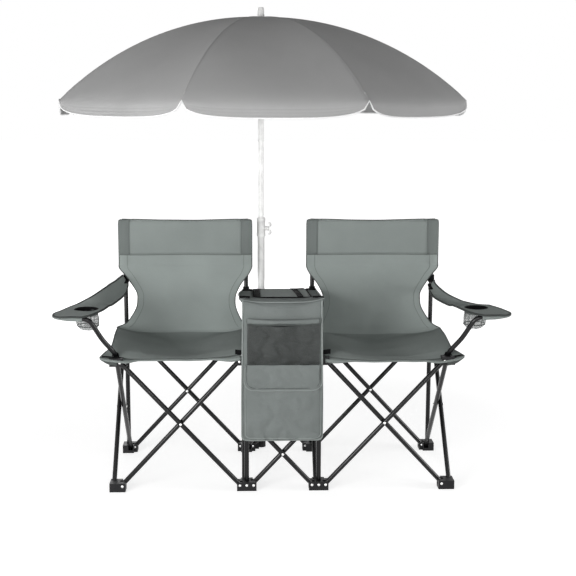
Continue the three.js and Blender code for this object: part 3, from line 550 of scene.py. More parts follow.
def add_row_pairs():
    seat_rise = SEAT_Z - FOOT_Z
    table_rise = TABLE_Z - FOOT_Z
    spans = [("left", 0, CHAIR_SPAN, seat_rise, -1), ("table", 1, TABLE_SPAN, table_rise, -1)]
    spans.append(("right", 2, CHAIR_SPAN, seat_rise, 1))
    for row, y, normal in (("front", FRONT_Y, -Y), ("back", BACK_Y, Y)):
        for name, first, span, rise, lay_a in spans:
            names = [f"cross_{row}_{name}_a", f"cross_{row}_{name}_b"]
            start = Vector((COLUMN_X[first] + INSET, y, FOOT_Z))
            add_pair(names, start, X, span, rise, normal, lay_a, True)


ARM_STRAIGHT = 0.036
ARM_OUT = 0.079
ARM_FORWARD = 0.054
ARM_TIP_OUT = 0.08
ARM_TIP_BACK = 0.012
ARM_LOWER_BEND = 0.07
ARM_WAIST_BEND = 0.25
ARM_UPPER_BEND = 0.038
ARM_BOW = 0.006
ARM_TOP = 0.612
ARM_CLOTH_THICK = 0.004
BEND_STEPS = 10


def rounded(corners, radii):
    """The stations of a path with its corners rounded off."""
    stations = [corners[0]]
    for i in range(1, len(corners) - 1):
        before = (corners[i] - corners[i - 1]).normalized()
        after = (corners[i + 1] - corners[i]).normalized()
        reach = radii[i - 1] * math.tan(before.angle(after) / 2)
        a = corners[i] - before * reach
        b = corners[i] + after * reach
        for k in range(BEND_STEPS + 1):
            t = k / BEND_STEPS
            stations.append(a * (1 - t) ** 2 + corners[i] * 2 * t * (1 - t) + b * t**2)
    stations.append(corners[-1])
    return stations


def arm_path(side, x):
    normal = X * side
    start = Vector((x, BACK_Y - INSET, FOOT_Z)) - normal * LAY
    end = Vector((x, FRONT_Y + INSET, SEAT_Z)) - normal * LAY
    along = (end - start).normalized()
    bend = end + along * ARM_STRAIGHT
    knee = bend + normal * ARM_OUT - Y * ARM_FORWARD
    knee.z = ARM_TOP - ARM_CLOTH_THICK / 2 - SEAT_GAP - TUBE_R
    tip = knee + normal * ARM_TIP_OUT + Y * ARM_TIP_BACK
    waist = bend.lerp(knee, 0.42) + normal * ARM_BOW - Z * ARM_BOW * 0.5
    corners = [start - along * TUBE_END, bend, waist, knee, tip]
    return rounded(corners, [ARM_LOWER_BEND, ARM_WAIST_BEND, ARM_UPPER_BEND])


def add_side_pairs():
    names = [
        ["side_brace_left", "arm_tube_left"],
        ["side_inner_left_a", "side_inner_left_b"],
        ["side_inner_right_a", "side_inner_right_b"],
        ["side_brace_right", "arm_tube_right"],
    ]
    normals = [-X, -X, -X, X]
    for i, x in enumerate(COLUMN_X):
        is_outer = i in (0, 3)
        start = Vector((x, FRONT_Y + INSET, FOOT_Z))
        path = arm_path(-1 if i == 0 else 1, x) if is_outer else None
        add_pair(names[i], start, Y, CHAIR_SPAN, SEAT_Z - FOOT_Z, normals[i], 1, is_outer, path)


def add_columns():
    columns = [("upright_back", BACK_Y, Y, UPRIGHT_TOP, number) for number in (1, 2, 3, 4)]
    columns += [("post_front", FRONT_Y, -Y, POST_TOP, number) for number in (2, 3)]
    for row, y, normal, top, number in columns:
        node = f"{row}_{number}"
        foot = Vector((COLUMN_X[number - 1], y, FOOT_FLOOR))
        tube_piece(node, [foot, Vector((foot.x, y, top))])
        centre = Vector((foot.x, y, FOOT_Z))
        add_rivets(node, [(centre + normal * (OUTER_FACE + SEAT_GAP), normal)])
    for number in (1, 2, 3, 4):
        add_back_rivet_ends(number)


def add_back_rivet_ends(number):
    """The rivets' closed ends on the inner faces of a back foot."""
    offsets = {1: (INSET,), 2: (-INSET, INSET), 3: (-INSET, INSET), 4: (-INSET,)}[number]
    profile = [(HEAD_R, 0), (HEAD_R * 0.9, HEAD_H / 2), (HEAD_R / 2, HEAD_H * 0.9)]
    shape = Shape()
    for offset in offsets:
        place = Vector((COLUMN_X[number - 1] + offset, BACK_Y - OUTER_FACE - SEAT_GAP, FOOT_Z))
        turned(place, -Y, profile, 16, shape)
    piece(f"rivet_ends_foot_{number}", shape, RIVET, BODY[f"foot_back_{number}"])


def dress_mouldings():
    """Rounded edges and a plastic finish on the feet, sliders, hubs and the clip."""
    for name, node in frame["nodes"].items():
        if not name.startswith(("foot", "slider", "lower_slider", "hub", "pole_clip")):
            continue
        node.data.materials.clear()
        node.data.materials.append(PLASTIC)
        weld = node.modifiers.new("weld", "WELD")
        weld.merge_threshold = WELD_REACH
        edge = node.modifiers.new("edge", "BEVEL")
        edge.width = MOULDING_EDGE
        edge.segments = 3
        edge.limit_method = "ANGLE"
        edge.angle_limit = math.radians(40)
        edge.harden_normals = True


# Slings

# Stations from the top edge to the front edge, as shares: how far forward (of the half depth), height (of
# the sling's top), outer and inner half width, sag backwards, dip and corner flap, close to the CAD sling's.
SLING_SHARES = [
    [0, 1, 1, 1, 0, 0, 0],
    [0, 0.9, 1, 1, 0.4, 0, 0],
    [0, 0.82, 1, 1, 0.5, 0, 0],
    [0.014, 0.795, 0.995, 0.995, 0.5, 0, 0],
    [0.03, 0.766, 0.908, 0.94, 0.5, 0, 0],
    [0.045, 0.733, 0.821, 0.845, 0.5, 0, 0],
    [0.055, 0.695, 0.739, 0.77, 0.4, 0, 0],
    [0.065, 0.667, 0.726, 0.745, 0.3, 0, 0],
    [0.092, 0.626, 0.75, 0.757, 0.2, 0.1, 0],
    [0.148, 0.572, 0.88, 0.85, 0, 0.6, 0],
    [0.205, 0.557, 1.02, 0.93, 0, 1, 0],
    [0.45, 0.562, 1.005, 0.928, 0, 1.8, 0],
    [0.95, 0.566, 0.985, 0.926, 0, 2.2, 0],
    [1.4, 0.562, 0.965, 0.91, 0, 1.9, 0],
    [1.7, 0.552, 0.97, 0.885, 0, 1.3, 0],
    [1.85, 0.544, 1.035, 0.86, 0, 0.95, 0.4],
    [1.94, 0.537, 1.085, 0.836, 0, 0.78, 1],
]
BACKREST_SPANS = 10
SEAT_SPLIT = 11.5
SLING_SPANS = 16
NEAR_FOLD = 1.4
NEAR_HEM = 1.6
NEAR_TOP = 0.2
TOP_EDGE_SAG = 0.005
SEAT_LOWER = {-1: 0.002, 1: 0.01}
SLING_STEPS = 6
SLING_COLUMNS = 56
CORNER_R = 0.015
TUBE_BULGE = 0.0045
HEADREST_SPANS = 1.58
SLEEVE_WIDTH = 0.038
EDGE_STEPS = 8
CORNER_DROOP = 0.006
SEAT_STRAP = flat_section(0.016, WEBBING_THICK)
HEM_DROP = 0.005
HEM_CORNER_DROP = 0.0105
HEM_PUFF = 0.0016
CORNER_FOLD_SHARE = 0.215
CORNER_FOLD_DROP = 0.017
HEM_TURN_IN = 0.009
HEM_ROLL = 0.0012
HEM_CLEAR = 0.0145
HEM_CLEAR_OUTER = 0.0232


def smooth(share):
    """Rises softly from 0 to 1."""
    share = min(1.0, max(0.0, share))
    return share * share * (3 - 2 * share)


class Sling:
    """One chair's seat and backrest. side is -1 for the left chair and 1 for the right one."""

    def __init__(self, side):
        self.side = side
        self.name = "left" if side < 0 else "right"
        self.middle = side * (OUTER_X + INNER_X) / 2
        self.half = (OUTER_X - INNER_X) / 2 + POCKET_HALF
        self.tube_share = 1 - POCKET_HALF / self.half
        self.sleeve_share = 1 - SLEEVE_WIDTH / self.half
        self.lower = SEAT_LOWER[side]

    def point(self, span, share):
        """A point of the cloth: span runs from the top edge to the front, share from -1 to 1 across."""
        forward, height, outer, inner, sag, dip, flap = spline(SLING_SHARES, span)
        is_outer = share * self.side > 0
        reach = self.half * (outer if is_outer else inner)
        below = SLING_TOP * (1 - height)
        if below < CORNER_R:
            reach -= CORNER_R - math.sqrt(CORNER_R**2 - (CORNER_R - below) ** 2)
        slack = (1 - share**2) ** 2
        corner = share**4 if is_outer else 0.0
        x = self.middle + share * reach
        y = PLANE_Y - SLING_FRONT - PLANE_Y * forward + SLING_SAG * sag * slack - SLING_FLAP * flap * corner
        near_fold = max(0.0, 1 - abs(span - BACKREST_SPANS) / NEAR_FOLD)
        near_hem = max(0.0, 1 - (SLING_SPANS - span) / NEAR_HEM)
        hollow = slack + (1 - abs(share) ** 6 - slack) * near_fold
        hollow += (1 - abs(share) ** 3 - slack) * near_hem
        z = SLING_TOP * height - SLING_DIP * dip * hollow - CORNER_DROOP * flap * corner
        z -= self.lower * smooth((span - BACKREST_SPANS + NEAR_FOLD) / NEAR_FOLD) * (1 - flap * corner)
        if span < NEAR_TOP:
            z -= TOP_EDGE_SAG * slack * (1 - span / NEAR_TOP)
        over_tube = 1 - ((abs(share) - self.tube_share) / (1 - self.tube_share)) ** 2
        in_pocket = min(1.0, max(0.0, (z - POCKET_BOTTOM + 0.012) / 0.02))
        y -= TUBE_BULGE * max(0.0, over_tube) * in_pocket
        return at(x, y, z)

    def normal(self, span, share):
        step = 0.02
        along = self.point(min(span + step, SLING_SPANS), share) - self.point(max(span - step, 0), share)
        across = self.point(span, min(share + step, 1)) - self.point(span, max(share - step, -1))
        return along.cross(across).normalized()

    def cloth(self, span, share, lift=0.0):
        point = self.point(span, share)
        normal = self.normal(span, share)
        edge = 1 - share**4
        depth = 0.004 if span > BACKREST_SPANS - 1 else 0.0035
        soft = wobble(point, 0.1, depth, self.side * 3.0) + wobble(point, 0.035, depth * 0.25, self.side)
        return point + normal * (lift + soft * edge)

    def rows(self, first, last, low=-1.0, high=1.0, lift=0.0, columns=SLING_COLUMNS):
        count = round((last - first) * SLING_STEPS)
        spans = [first + (last - first) * i / count for i in range(count + 1)]
        return [self.cross_line(span, low, high, lift, columns) for span in spans]

    def edge_line(self, first, last, share, lift=0.0, steps=SLING_STEPS):
        count = max(2, round((last - first) * steps))
        return [self.cloth(first + (last - first) * i / count, share, lift) for i in range(count + 1)]

    def cross_line(self, span, low=-1.0, high=1.0, lift=0.0, columns=SLING_COLUMNS):
        return [self.cloth(span, low + (high - low) * j / columns, lift) for j in range(columns + 1)]


def fold_in(made):
    """Gives a piece of cloth a mesh of its own."""
    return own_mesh(made)


def add_sling(side):
    sling = Sling(side)
    name = sling.name
    number = 2 if side < 0 else 3
    anchor = COLUMN_X[number - 1]
    parts = [
        ("backrest", 0, BACKREST_SPANS, f"column_back_{number}", (0.5, 0.44), 0.2),
        ("seat_rear", BACKREST_SPANS, SEAT_SPLIT, f"slider_back_{number}", (0.46, 0.122), None),
        ("seat_front", SEAT_SPLIT, SLING_SPANS, f"slider_front_{number}", (0.46, 0.291), None),
    ]
    for label, first, last, body, flat, area in parts:
        taken = (f"sling_{name}",) if label == "backrest" else ()
        rows = sling.rows(first, last)
        # The seat pieces take the darker seat cloth: painted shade.
        finish = CHAIR_CLOTH if label == "backrest" else SHADED_SEAT_CLOTH
        made = piece(f"{label}_{name}", grid(rows), finish, body, taken, CLOTH, has_rim=False)
        fold_in(made)
        edges = Shape()
        for share in (-1, 1):
            cord(sling.edge_line(max(first, 0.05), last, share, steps=EDGE_STEPS), 0.0019, shape=edges)
        if label == "backrest":
            cord(sling.cross_line(0.02, -0.985, 0.985), 0.0018, shape=edges)
        if label == "seat_front":
            cord(sling.cross_line(SLING_SPANS - 0.12, lift=0.0006), 0.0012, 6, edges)
        fold_in(piece(f"{label}_binding_{name}", edges, BINDING, body))
    add_back_layers(sling, f"column_back_{number}")
    add_sleeves(side)
    add_corner(sling, side, anchor)


def add_back_layers(sling, body):
    """The headrest's second layer, the sleeves over the uprights and their seams."""
    name = sling.name
    wide = sling.sleeve_share
    rows = sling.rows(0.1, HEADREST_SPANS, -wide, wide, CLOTH)
    band = piece(f"headrest_{name}", grid(rows), BAND_CLOTH, body, (), CLOTH)
    fold_in(band)
    for edge in (-1, 1):
        low, high = sorted((edge * wide, edge))
        rows = sling.rows(0.04, HEADREST_SPANS, low, high, CLOTH, columns=14)
        label = "inner" if edge * sling.side < 0 else "outer"
        # The sleeve strips take the darker sleeve cloth: painted shade over the uprights.
        sleeve = piece(f"sleeve_{label}_{name}", grid(rows), SHADED_SLEEVE_CLOTH, body, (), CLOTH)
        fold_in(sleeve)
    seams = Shape()
    lift = CLOTH * 1.5
    cord(sling.cross_line(HEADREST_SPANS, -wide, wide, lift), 0.0013, 6, seams)
    cord(sling.cross_line(HEADREST_SPANS - 0.08, -wide, wide, lift * 0.7), 0.0009, 6, seams)
    for share in (-wide, wide):
        cord(sling.edge_line(0.06, HEADREST_SPANS, share, lift), 0.0012, 6, seams)
        cord(sling.edge_line(0.06, HEADREST_SPANS, share * 0.95, CLOTH * 0.9), 0.0009, 6, seams)
        cord(sling.edge_line(HEADREST_SPANS, 9.6, share * 1.04, CLOTH * 0.5), 0.0007, 6, seams)
    fold_in(piece(f"backrest_seams_{name}", seams, SEAM_CLOTH, body))


def hem_drop(across):
    """How far the hem hangs at a share across the seat, counted towards the chair's outer side."""
    inner = smooth((-across - 0.45) / 0.5)
    outer = smooth((across - 0.5) / 0.2)
    tip = smooth((across - 0.93) / 0.07)
    return (HEM_DROP + HEM_CORNER_DROP * inner + 0.004 * outer) * (1 - 0.6 * tip), max(inner, outer)


def add_hem(sling, side, body):
    """The seat's front edge, turned down before the hubs and rolled under."""
    rows = []
    for i in range(9):
        # Five steps down, then three steps back under
        t = min(i / 5, 1.0)
        under = max(0.0, (i - 5) / 3)
        row = []
        for j in range(SLING_COLUMNS + 1):
            share = 2 * j / SLING_COLUMNS - 1
            edge = sling.cloth(SLING_SPANS, share)
            drop, near_corner = hem_drop(share * side)
            front = FRONT_Y - (HEM_CLEAR_OUTER if share * side > 0 else HEM_CLEAR)
            forward = max(0.0, edge.y - front) * near_corner * smooth(t * 2)
            forward += HEM_PUFF * math.sin(math.pi * t) - HEM_TURN_IN * under
            row.append(edge - Y * forward - Z * (drop * t - HEM_ROLL * math.sin(math.pi * under)))
        rows.append(row)
    hem = piece(f"seat_hem_{sling.name}", grid(rows), SHADED_SEAT_CLOTH, body, (), CLOTH)
    fold_in(hem)


def add_corner(sling, side, anchor):
    """The seat's front corners: the hem, the webbing at the arm tube and the strap to the post."""
    name = sling.name
    number = 2 if side < 0 else 3
    body = f"slider_front_{number}"
    add_hem(sling, side, body)
    # The cloth folded under the seat's corner takes the dark binding colour: painted shade for its shadowed
    # underside.
    rows = []
    for t in shares(6):
        row = []
        for s in shares(12):
            share = side * (1 - CORNER_FOLD_SHARE * (1 - s))
            top = sling.cloth(SLING_SPANS, share) - Z * HEM_DROP * 0.8
            top.y = min(top.y, FRONT_Y - HEM_CLEAR_OUTER) + 0.0012
            rounded_end = min(1.0, (1.01 - abs(share)) / 0.17)
            row.append(top + (Y * 0.0006 - Z * CORNER_FOLD_DROP * math.sin(math.pi * rounded_end / 2)) * t)
        rows.append(row)
    fold = piece(f"seat_corner_shade_fold_{name}", grid(rows), BINDING, body, (), CLOTH)
    fold_in(fold)
    stations = [sling.cloth(15.78, side * (0.72 + 0.265 * i / 12), 0.0022) for i in range(13)]
    band = sweep(stations, SEAT_STRAP, up=Z)
    fold_in(piece(f"seat_corner_webbing_{name}", band, WEBBING, body))

    path = arm_path(side, COLUMN_X[0 if side < 0 else 3])
    level = stations[8].z
    after = next(i for i, station in enumerate(path) if station.z > level)
    low, high = path[after - 1], path[after]
    crossing = low.lerp(high, (level - low.z) / (high.z - low.z))
    tangent = (high - low).normalized()
    arm = f"arm_tube_{name}"
    ring_at(f"arm_ring_{name}", crossing, tangent, ARM_RING_R, (0.012, RING_THICK), arm)

    post = Vector((anchor, FRONT_Y, SEAT_Z + 0.0305))
    ring_at(f"seat_loop_{name}", post, Z, POST_RING_R, (0.016, RING_THICK), body)
    end = post + Vector((side * 0.037, 0.004, 0))
    start = post + Vector((side * 0.006, -0.0098, 0))
    middle = start.lerp(end, 0.5) - Y * 0.002
    tongue = sweep([start, middle, end], SEAT_STRAP, up=-Y)
    piece(f"seat_tongue_{name}", tongue, WEBBING, body)


def ring_at(name, centre, axis, radius, section, body):
    """A band of webbing round a tube."""
    side = axis.orthogonal().normalized()
    other = axis.cross(side)
    outward = [side * a + other * b for a, b in circle(1.0, 32)]
    loop = [centre + way * radius for way in outward]
    made = sweep(loop, flat_section(*section), up=outward, loop=True)
    return piece(name, made, WEBBING, body)


def add_sleeves(side):
    """The pockets at the back of the sling that slip over the uprights."""
    for number in ((1, 2) if side < 0 else (3, 4)):
        x = COLUMN_X[number - 1] - CENTRE.x
        rows = []
        for t in shares(16):
            z = POCKET_BOTTOM + (POCKET_TOP - POCKET_BOTTOM) * t
            radius = POCKET_R + 0.001 * math.sin(math.pi * t)
            row = [at(x - POCKET_HALF, PLANE_Y - SLING_FRONT + CLOTH, z)]
            for turn in shares(16):
                angle = math.pi * turn
                point = at(x - radius * math.cos(angle), PLANE_Y + radius * math.sin(angle), z)
                row.append(point + Y * wobble(point, 0.02, 0.0012))
            row.append(at(x + POCKET_HALF, PLANE_Y - SLING_FRONT + CLOTH, z))
            rows.append(row)
        body = BODY[f"upright_back_{number}"]
        shape = grid(rows)
        made = piece(f"sleeve_back_{number}", shape, SHADED_SLEEVE_CLOTH, body, (), CLOTH * 0.7)
        profile = [(POCKET_R, 0), (POCKET_R, 0.003), (POCKET_R * 0.7, 0.0065), (0.002, 0.0075)]
        cap = turned(at(x, PLANE_Y, UPRIGHT_TOP + 0.0012), Z, profile, 20)
        piece(f"sleeve_cap_{number}", cap, SHADED_SLEEVE_CLOTH, body)


# Armrests

# Stations from the upright to the rounded front, as shares: place along the half depth, then how far out and
# how high the outer and the inner edge lie, close to the CAD armrest's.
ARM_SHARES = [
    [0.957, 0.055, 1, -0.036, 0.5],
    [0.88, 0.065, 1, -0.052, 0.39],
    [0.54, 0.14, 0.91, -0.047, 0.125],
    [0.27, 0.236, 0.785, -0.004, 0],
    [0, 0.343, 0.625, 0.055, -0.06],
    [-0.27, 0.49, 0.4, 0.103, -0.07],
    [-0.45, 0.68, 0.14, 0.135, 0],
    [-0.68, 0.85, 0, 0.167, 0],
    [-0.91, 0.936, 0, 0.23, 0],
    [-1.13, 1, 0, 0.316, 0],
    [-1.29, 0.957, 0, 0.412, 0],
    [-1.37, 0.85, 0, 0.508, 0],
]
# How far each armrest has slid down at its back and turned down at its outer edge
ARM_SLACK = {-1: (0.0, 0.0), 1: (0.02, 0.03)}
ARM_SAG = 0.004
ARM_PIPING_R = 0.0034
# Where the cup's opening begins
CUP_SPAN = 7
CUP_TOP = ARM_TOP - 0.003
ARM_REACH = 0.18725
ARM_RISE = 0.056
CUP_OUT = 0.09225
CUP_INSET = 0.0555
CUP_R = 0.04
CUP_BOTTOM = 0.545
CUP_OPENING_R = 0.038
ARM_STEPS = 8
ARM_COLUMNS = 22


def arm_point(side, span, share):
    """A point of an armrest: span runs from the upright to the tip, share from inner to outer edge."""
    along, outer_out, outer_up, inner_out, inner_up = spline(ARM_SHARES, span)
    out = inner_out + (outer_out - inner_out) * share
    rise = inner_up + (outer_up - inner_up) * share
    slack = math.sin(math.pi * share) * math.sin(math.pi * min(span / CUP_SPAN, 1))
    slid, turned_down = ARM_SLACK[side]
    back = max(0.0, 1 - span / CUP_SPAN)
    z = ARM_TOP + ARM_RISE * rise - ARM_SAG * slack - slid * back
    z -= turned_down * share * math.sin(math.pi * min(1.0, span / 6.5))
    point = at(side * (OUTER_X + ARM_REACH * out), PLANE_Y * along, z)
    return point + Z * wobble(point, 0.05, 0.0012, side)


def punch(shape, centre, radius):
    """Opens a round hole, seen from above: drops the faces inside it and draws its edge onto the circle."""
    away = [Vector((p.x - centre.x, p.y - centre.y)) for p in shape.points]
    shape.faces = [face for face in shape.faces if any(away[i].length > radius for i in face)]
    for i, reach in enumerate(away):
        if reach.length < radius:
            drawn = reach.normalized() * radius
            shape.points[i] = Vector((centre.x + drawn.x, centre.y + drawn.y, shape.points[i].z))
    return shape


def add_armrest(side):
    name = "left" if side < 0 else "right"
    number = 1 if side < 0 else 4
    arm = f"arm_tube_{name}"
    column = f"column_back_{number}"
    last = len(ARM_SHARES) - 1
    cup = at(side * (OUTER_X + CUP_OUT), -PLANE_Y + CUP_INSET, ARM_TOP)
    spans = [i / ARM_STEPS for i in range(last * ARM_STEPS + 1)]
    rows = [[arm_point(side, span, j / ARM_COLUMNS) for j in range(ARM_COLUMNS + 1)] for span in spans]
    outline = [row[-1] for row in rows]
    outline += [arm_point(side, last, 1 - j / ARM_COLUMNS) for j in range(1, ARM_COLUMNS)]
    outline += [row[0] for row in reversed(rows)]
    plate = punch(grid(rows), cup, CUP_OPENING_R)
    taken = (f"armrest_{name}",)
    made = piece(f"armrest_pad_{name}", plate, ARM_CLOTH, arm, taken, ARM_CLOTH_THICK)
    piping = piece(f"armrest_piping_{name}", cord(outline, ARM_PIPING_R, 10), ARM_EDGE, arm)

    outward = [Vector((a, b, 0)) for a, b in circle(1.0, 40)]
    ring = [cup + way * CUP_OPENING_R for way in outward]
    binding = cord(ring, 0.003, loop=True)
    lining = [p - Z * 0.009 - way * 0.0012 for p, way in zip(ring, outward)]
    sweep(lining, flat_section(0.018, 0.0012), up=outward, shape=binding, loop=True)
    piece(f"cup_opening_{name}", binding, WEBBING, arm)

    stations = [arm_point(side, i / 6, 0.5) for i in range(9)]
    strap = sweep(stations, flat_section(0.03, 0.0022), up=Z)
    strap = piece(f"armrest_strap_{name}", strap, WEBBING, arm)
    # The cloth between the upright and the arm tube bends across the back foot's pivot as the chair folds; here
    # the pad, piping and strap are only taken off the arm tube's body
    for part in (made, piping, strap):
        part.parent = None
        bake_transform(part)

    sheath = arm_path(side, COLUMN_X[number - 1])[-2:]
    reach = (sheath[1] - sheath[0]).normalized()
    ends = [-0.006, -0.004, 0.0, 0.02, 0.04, 0.055, 0.07, 0.085, 0.095]
    stations = [sheath[0] + reach * away + Z * max(0.0, away - 0.04) * 0.1 for away in ends]
    sleeve = sweep(stations, circle(TUBE_R + 0.0016, 20), scales=[0.86, 0.98, 1, 1, 1, 1, 0.98, 0.85, 0.4])
    piece(f"armrest_sleeve_{name}", sleeve, ARM_CLOTH, arm)
    collar = Vector((COLUMN_X[number - 1], BACK_Y, ARM_TOP + 0.042))
    ring_at(f"armrest_loop_{name}", collar, Z, 0.0108, (0.026, 0.0022), column)
    add_cup(side, name, arm, cup)


def add_cup(side, name, arm, centre):
    """The net pocket under the armrest, with rings at its rim and base and four cords down its side."""
    rows = []
    for t in shares(14):
        radius = CUP_R * 0.97 * math.sqrt(max(0.0, 1 - (0.93 * t) ** 6))
        lean = 0.006 * t * side
        z = CUP_TOP - (CUP_TOP - CUP_BOTTOM) * t
        ring = []
        for a, b in circle(radius, 40):
            point = Vector((centre.x - lean + a, centre.y + b, z))
            ring.append(point + point.normalized() * wobble(point, 0.02, 0.002, side))
        rows.append(ring)
    middle = Vector((centre.x - 0.006 * side, centre.y, CUP_BOTTOM - 0.004))
    rows += [[point.lerp(middle, k) for point in rows[14]] for k in (0.3, 0.6, 0.95)]
    taken = (f"cup_holder_{name}",)
    net = piece(f"cup_net_{name}", grid(rows, closed=True), CUP_NET, arm, taken)
    rings = Shape()
    cord(rows[11], 0.0016, shape=rings, loop=True)
    cord(rows[1], 0.0024, shape=rings, loop=True)
    for turn in (3, 12, 22, 33):
        cord([row[turn] for row in rows[1:12]], 0.0011, 6, rings)
    piece(f"cup_rings_{name}", rings, ARM_EDGE, arm)


# Table, cooler and organiser

TABLE_FRONT_Z = 0.655
TABLE_BACK_Z = 0.618
TABLE_BACK_INSET = 0.0405
TABLE_HALF = INNER_X + 0.01125
BAG_HALF = INNER_X - 0.02175
BAG_FRONT = -PLANE_Y + 0.0245
BAG_BACK = PLANE_Y - 0.0545
BAG_BOTTOM = 0.38
PANEL_Y = -PLANE_Y - 0.0275
PANEL_BOTTOM = 0.181
PANEL_CORNER = 0.014
RIM_CENTRE = -0.005
RIM_HALF = 0.1395
RIM_CORNER_Z = 0.6585
RIM_SAG = 0.0125
FOLDED_DEPTH_SHARE = 0.14
STRIP_THICK = 0.0024
FRONT_BODY = "column_front_2"
TABLE_LEFT_BULGE = 0.014
LID_HALF = BAG_HALF - 0.004
LID_FRONT = BAG_FRONT + 0.002
LID_BACK = BAG_BACK - 0.001
LID_RISE = 0.0065
# Gathering settings for the bag's sheets; the script reads only keep, as a seed for the cloth's wobble
ACROSS = {"axis": (1, 0, 0), "anchor": (COLUMN_X[1], BACK_Y, 0), "keep": FOLDED_TABLE_SHARE}
DEPTHWISE = {"axis": (0, 1, 0), "anchor": (COLUMN_X[1], BACK_Y, 0), "keep": FOLDED_DEPTH_SHARE}


def table_z(y):
    run = (y + PLANE_Y) / (2 * PLANE_Y - TABLE_BACK_INSET)
    return TABLE_FRONT_Z + (TABLE_BACK_Z - TABLE_FRONT_Z) * run


def rectangle(x0, x1, front, back):
    return [(x0, front), (x1, front), (x1, back), (x0, back)]


def strip(name, rows, body):
    """A sheet of the bag, with a mesh of its own."""
    made = piece(name, grid(rows), BAG_CLOTH, body, (), STRIP_THICK)
    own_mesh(made)
    return made


def soft_patch(corners, columns, rows, depth, seed, axis):
    """A four-cornered patch of soft cloth: corners go round, and depth is how far it wanders along axis."""
    made = []
    for t in shares(rows):
        row = []
        for s in shares(columns):
            low = corners[0].lerp(corners[1], s)
            high = corners[3].lerp(corners[2], s)
            point = low.lerp(high, t)
            calm = min(1.0, 6 * min(s, 1 - s)) * min(1.0, 6 * min(t, 1 - t))
            row.append(point + axis * wobble(point, 0.07, depth, seed) * calm)
        made.append(row)
    return made


def add_table():
    """The table top's border round the cooler's lid, in four strips that meet at the corners."""
    rim_front = -PLANE_Y + TUBE_R + SEAT_GAP
    rim_back = PLANE_Y - TABLE_BACK_INSET
    outer = rectangle(-TABLE_HALF, TABLE_HALF, rim_front, rim_back)
    inner = rectangle(-LID_HALF, LID_HALF, LID_FRONT, LID_BACK)
    sides = {
        "right": (1, 2, "column_back_3", DEPTHWISE),
        "back": (2, 3, "column_back_2", ACROSS),
        "left": (3, 0, "column_back_2", DEPTHWISE),
    }
    for label, (a, b, body, gather) in sides.items():
        corners = [at(x, y, table_z(y) - 0.0015) for x, y in (outer[a], outer[b], inner[b], inner[a])]
        rows = soft_patch(corners, 24, 4, 0.001, a * 2.0, Z)
        if label == "left":
            for t, row in zip(shares(4), rows):
                for s, point in zip(shares(24), row):
                    point.x -= TABLE_LEFT_BULGE * math.sin(math.pi * s) * (1 - t)
        strip(f"table_{label}", rows, body)
        trim = cord([p + Z * 0.001 for p in rows[0]], 0.003)
        trim = piece(f"table_piping_{label}", trim, LIGHT_PIPING, body)
        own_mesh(trim)
    add_table_front()


def rim_point(s):
    """A point of the table top's front rim, which sags between its corners: s runs from -1 to 1."""
    return at(RIM_CENTRE + s * RIM_HALF, PANEL_Y + 0.012, RIM_CORNER_Z - RIM_SAG * (1 - s**4))


def border_line(rows):
    """The line down the left edge of rows, along their first row and up the right edge."""
    return [row[0] for row in reversed(rows)] + rows[0][1:-1] + [row[-1] for row in rows]


def add_table_front():
    """The front strip of the table top: it covers the posts and sags between them."""
    rows = []
    for t in shares(8):
        row = []
        for j in range(41):
            s = j / 20 - 1
            slack = 1 - s**4
            inside = at(s * LID_HALF, LID_FRONT, table_z(-PLANE_Y) + 0.0012 - 0.004 * slack)
            row.append(rim_point(s).lerp(inside, t) + Z * 0.003 * math.sin(math.pi * t) * slack)
        rows.append(row)
    strip("table_front", rows, FRONT_BODY)
    trim = cord(border_line(rows[:5]), 0.0029)
    trim = piece("table_piping_front", trim, LIGHT_PIPING, FRONT_BODY)
    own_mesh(trim)


def add_tub():
    """The cooler's four walls and its floor, under the table top."""
    around = rectangle(-BAG_HALF, BAG_HALF, BAG_FRONT, BAG_BACK)
    walls = {
        "front": (0, 1, FRONT_BODY, ACROSS, -Y),
        "right": (1, 2, "column_back_3", DEPTHWISE, X),
        "back": (2, 3, "column_back_2", ACROSS, Y),
        "left": (3, 0, "column_back_2", DEPTHWISE, -X),
    }
    for label, (first, second, body, gather, outward) in walls.items():
        a, b = around[first], around[second]
        low = [at(x, y, BAG_BOTTOM + 0.002) for x, y in (a, b)]
        high = [at(x, y, table_z(y) - 0.004) for x, y in (b, a)]
        rows = soft_patch(low + high, 30, 22, 0.004, gather["keep"] * 10, outward)
        strip(f"cooler_{label}", rows, body)
        hem = cord([p + Z * 0.002 for p in rows[0]], 0.003)
        cord([row[0] for row in rows], 0.0026, shape=hem)
        trim = piece(f"cooler_hem_{label}", hem, BINDING, body)
        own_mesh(trim)
    halves = (("left", -BAG_HALF, 0.0, "column_back_2"), ("right", 0.0, BAG_HALF, "column_back_3"))
    for label, x0, x1, body in halves:
        corners = [at(x, y, BAG_BOTTOM) for x, y in rectangle(x0, x1, BAG_FRONT, BAG_BACK)]
        rows = soft_patch(corners, 12, 22, 0.003, 4.0, -Z)
        strip(f"cooler_floor_{label}", rows, body)


LID_STRAPS = [(-0.084, -0.082, 0.02), (0.059, 0.047, 0.02)]


def lid_puff(across, along):
    """The lid's fullness, from 0 at its edges to 1 in the middle."""
    return (math.sin(math.pi * across) * math.sin(math.pi * along)) ** 0.35


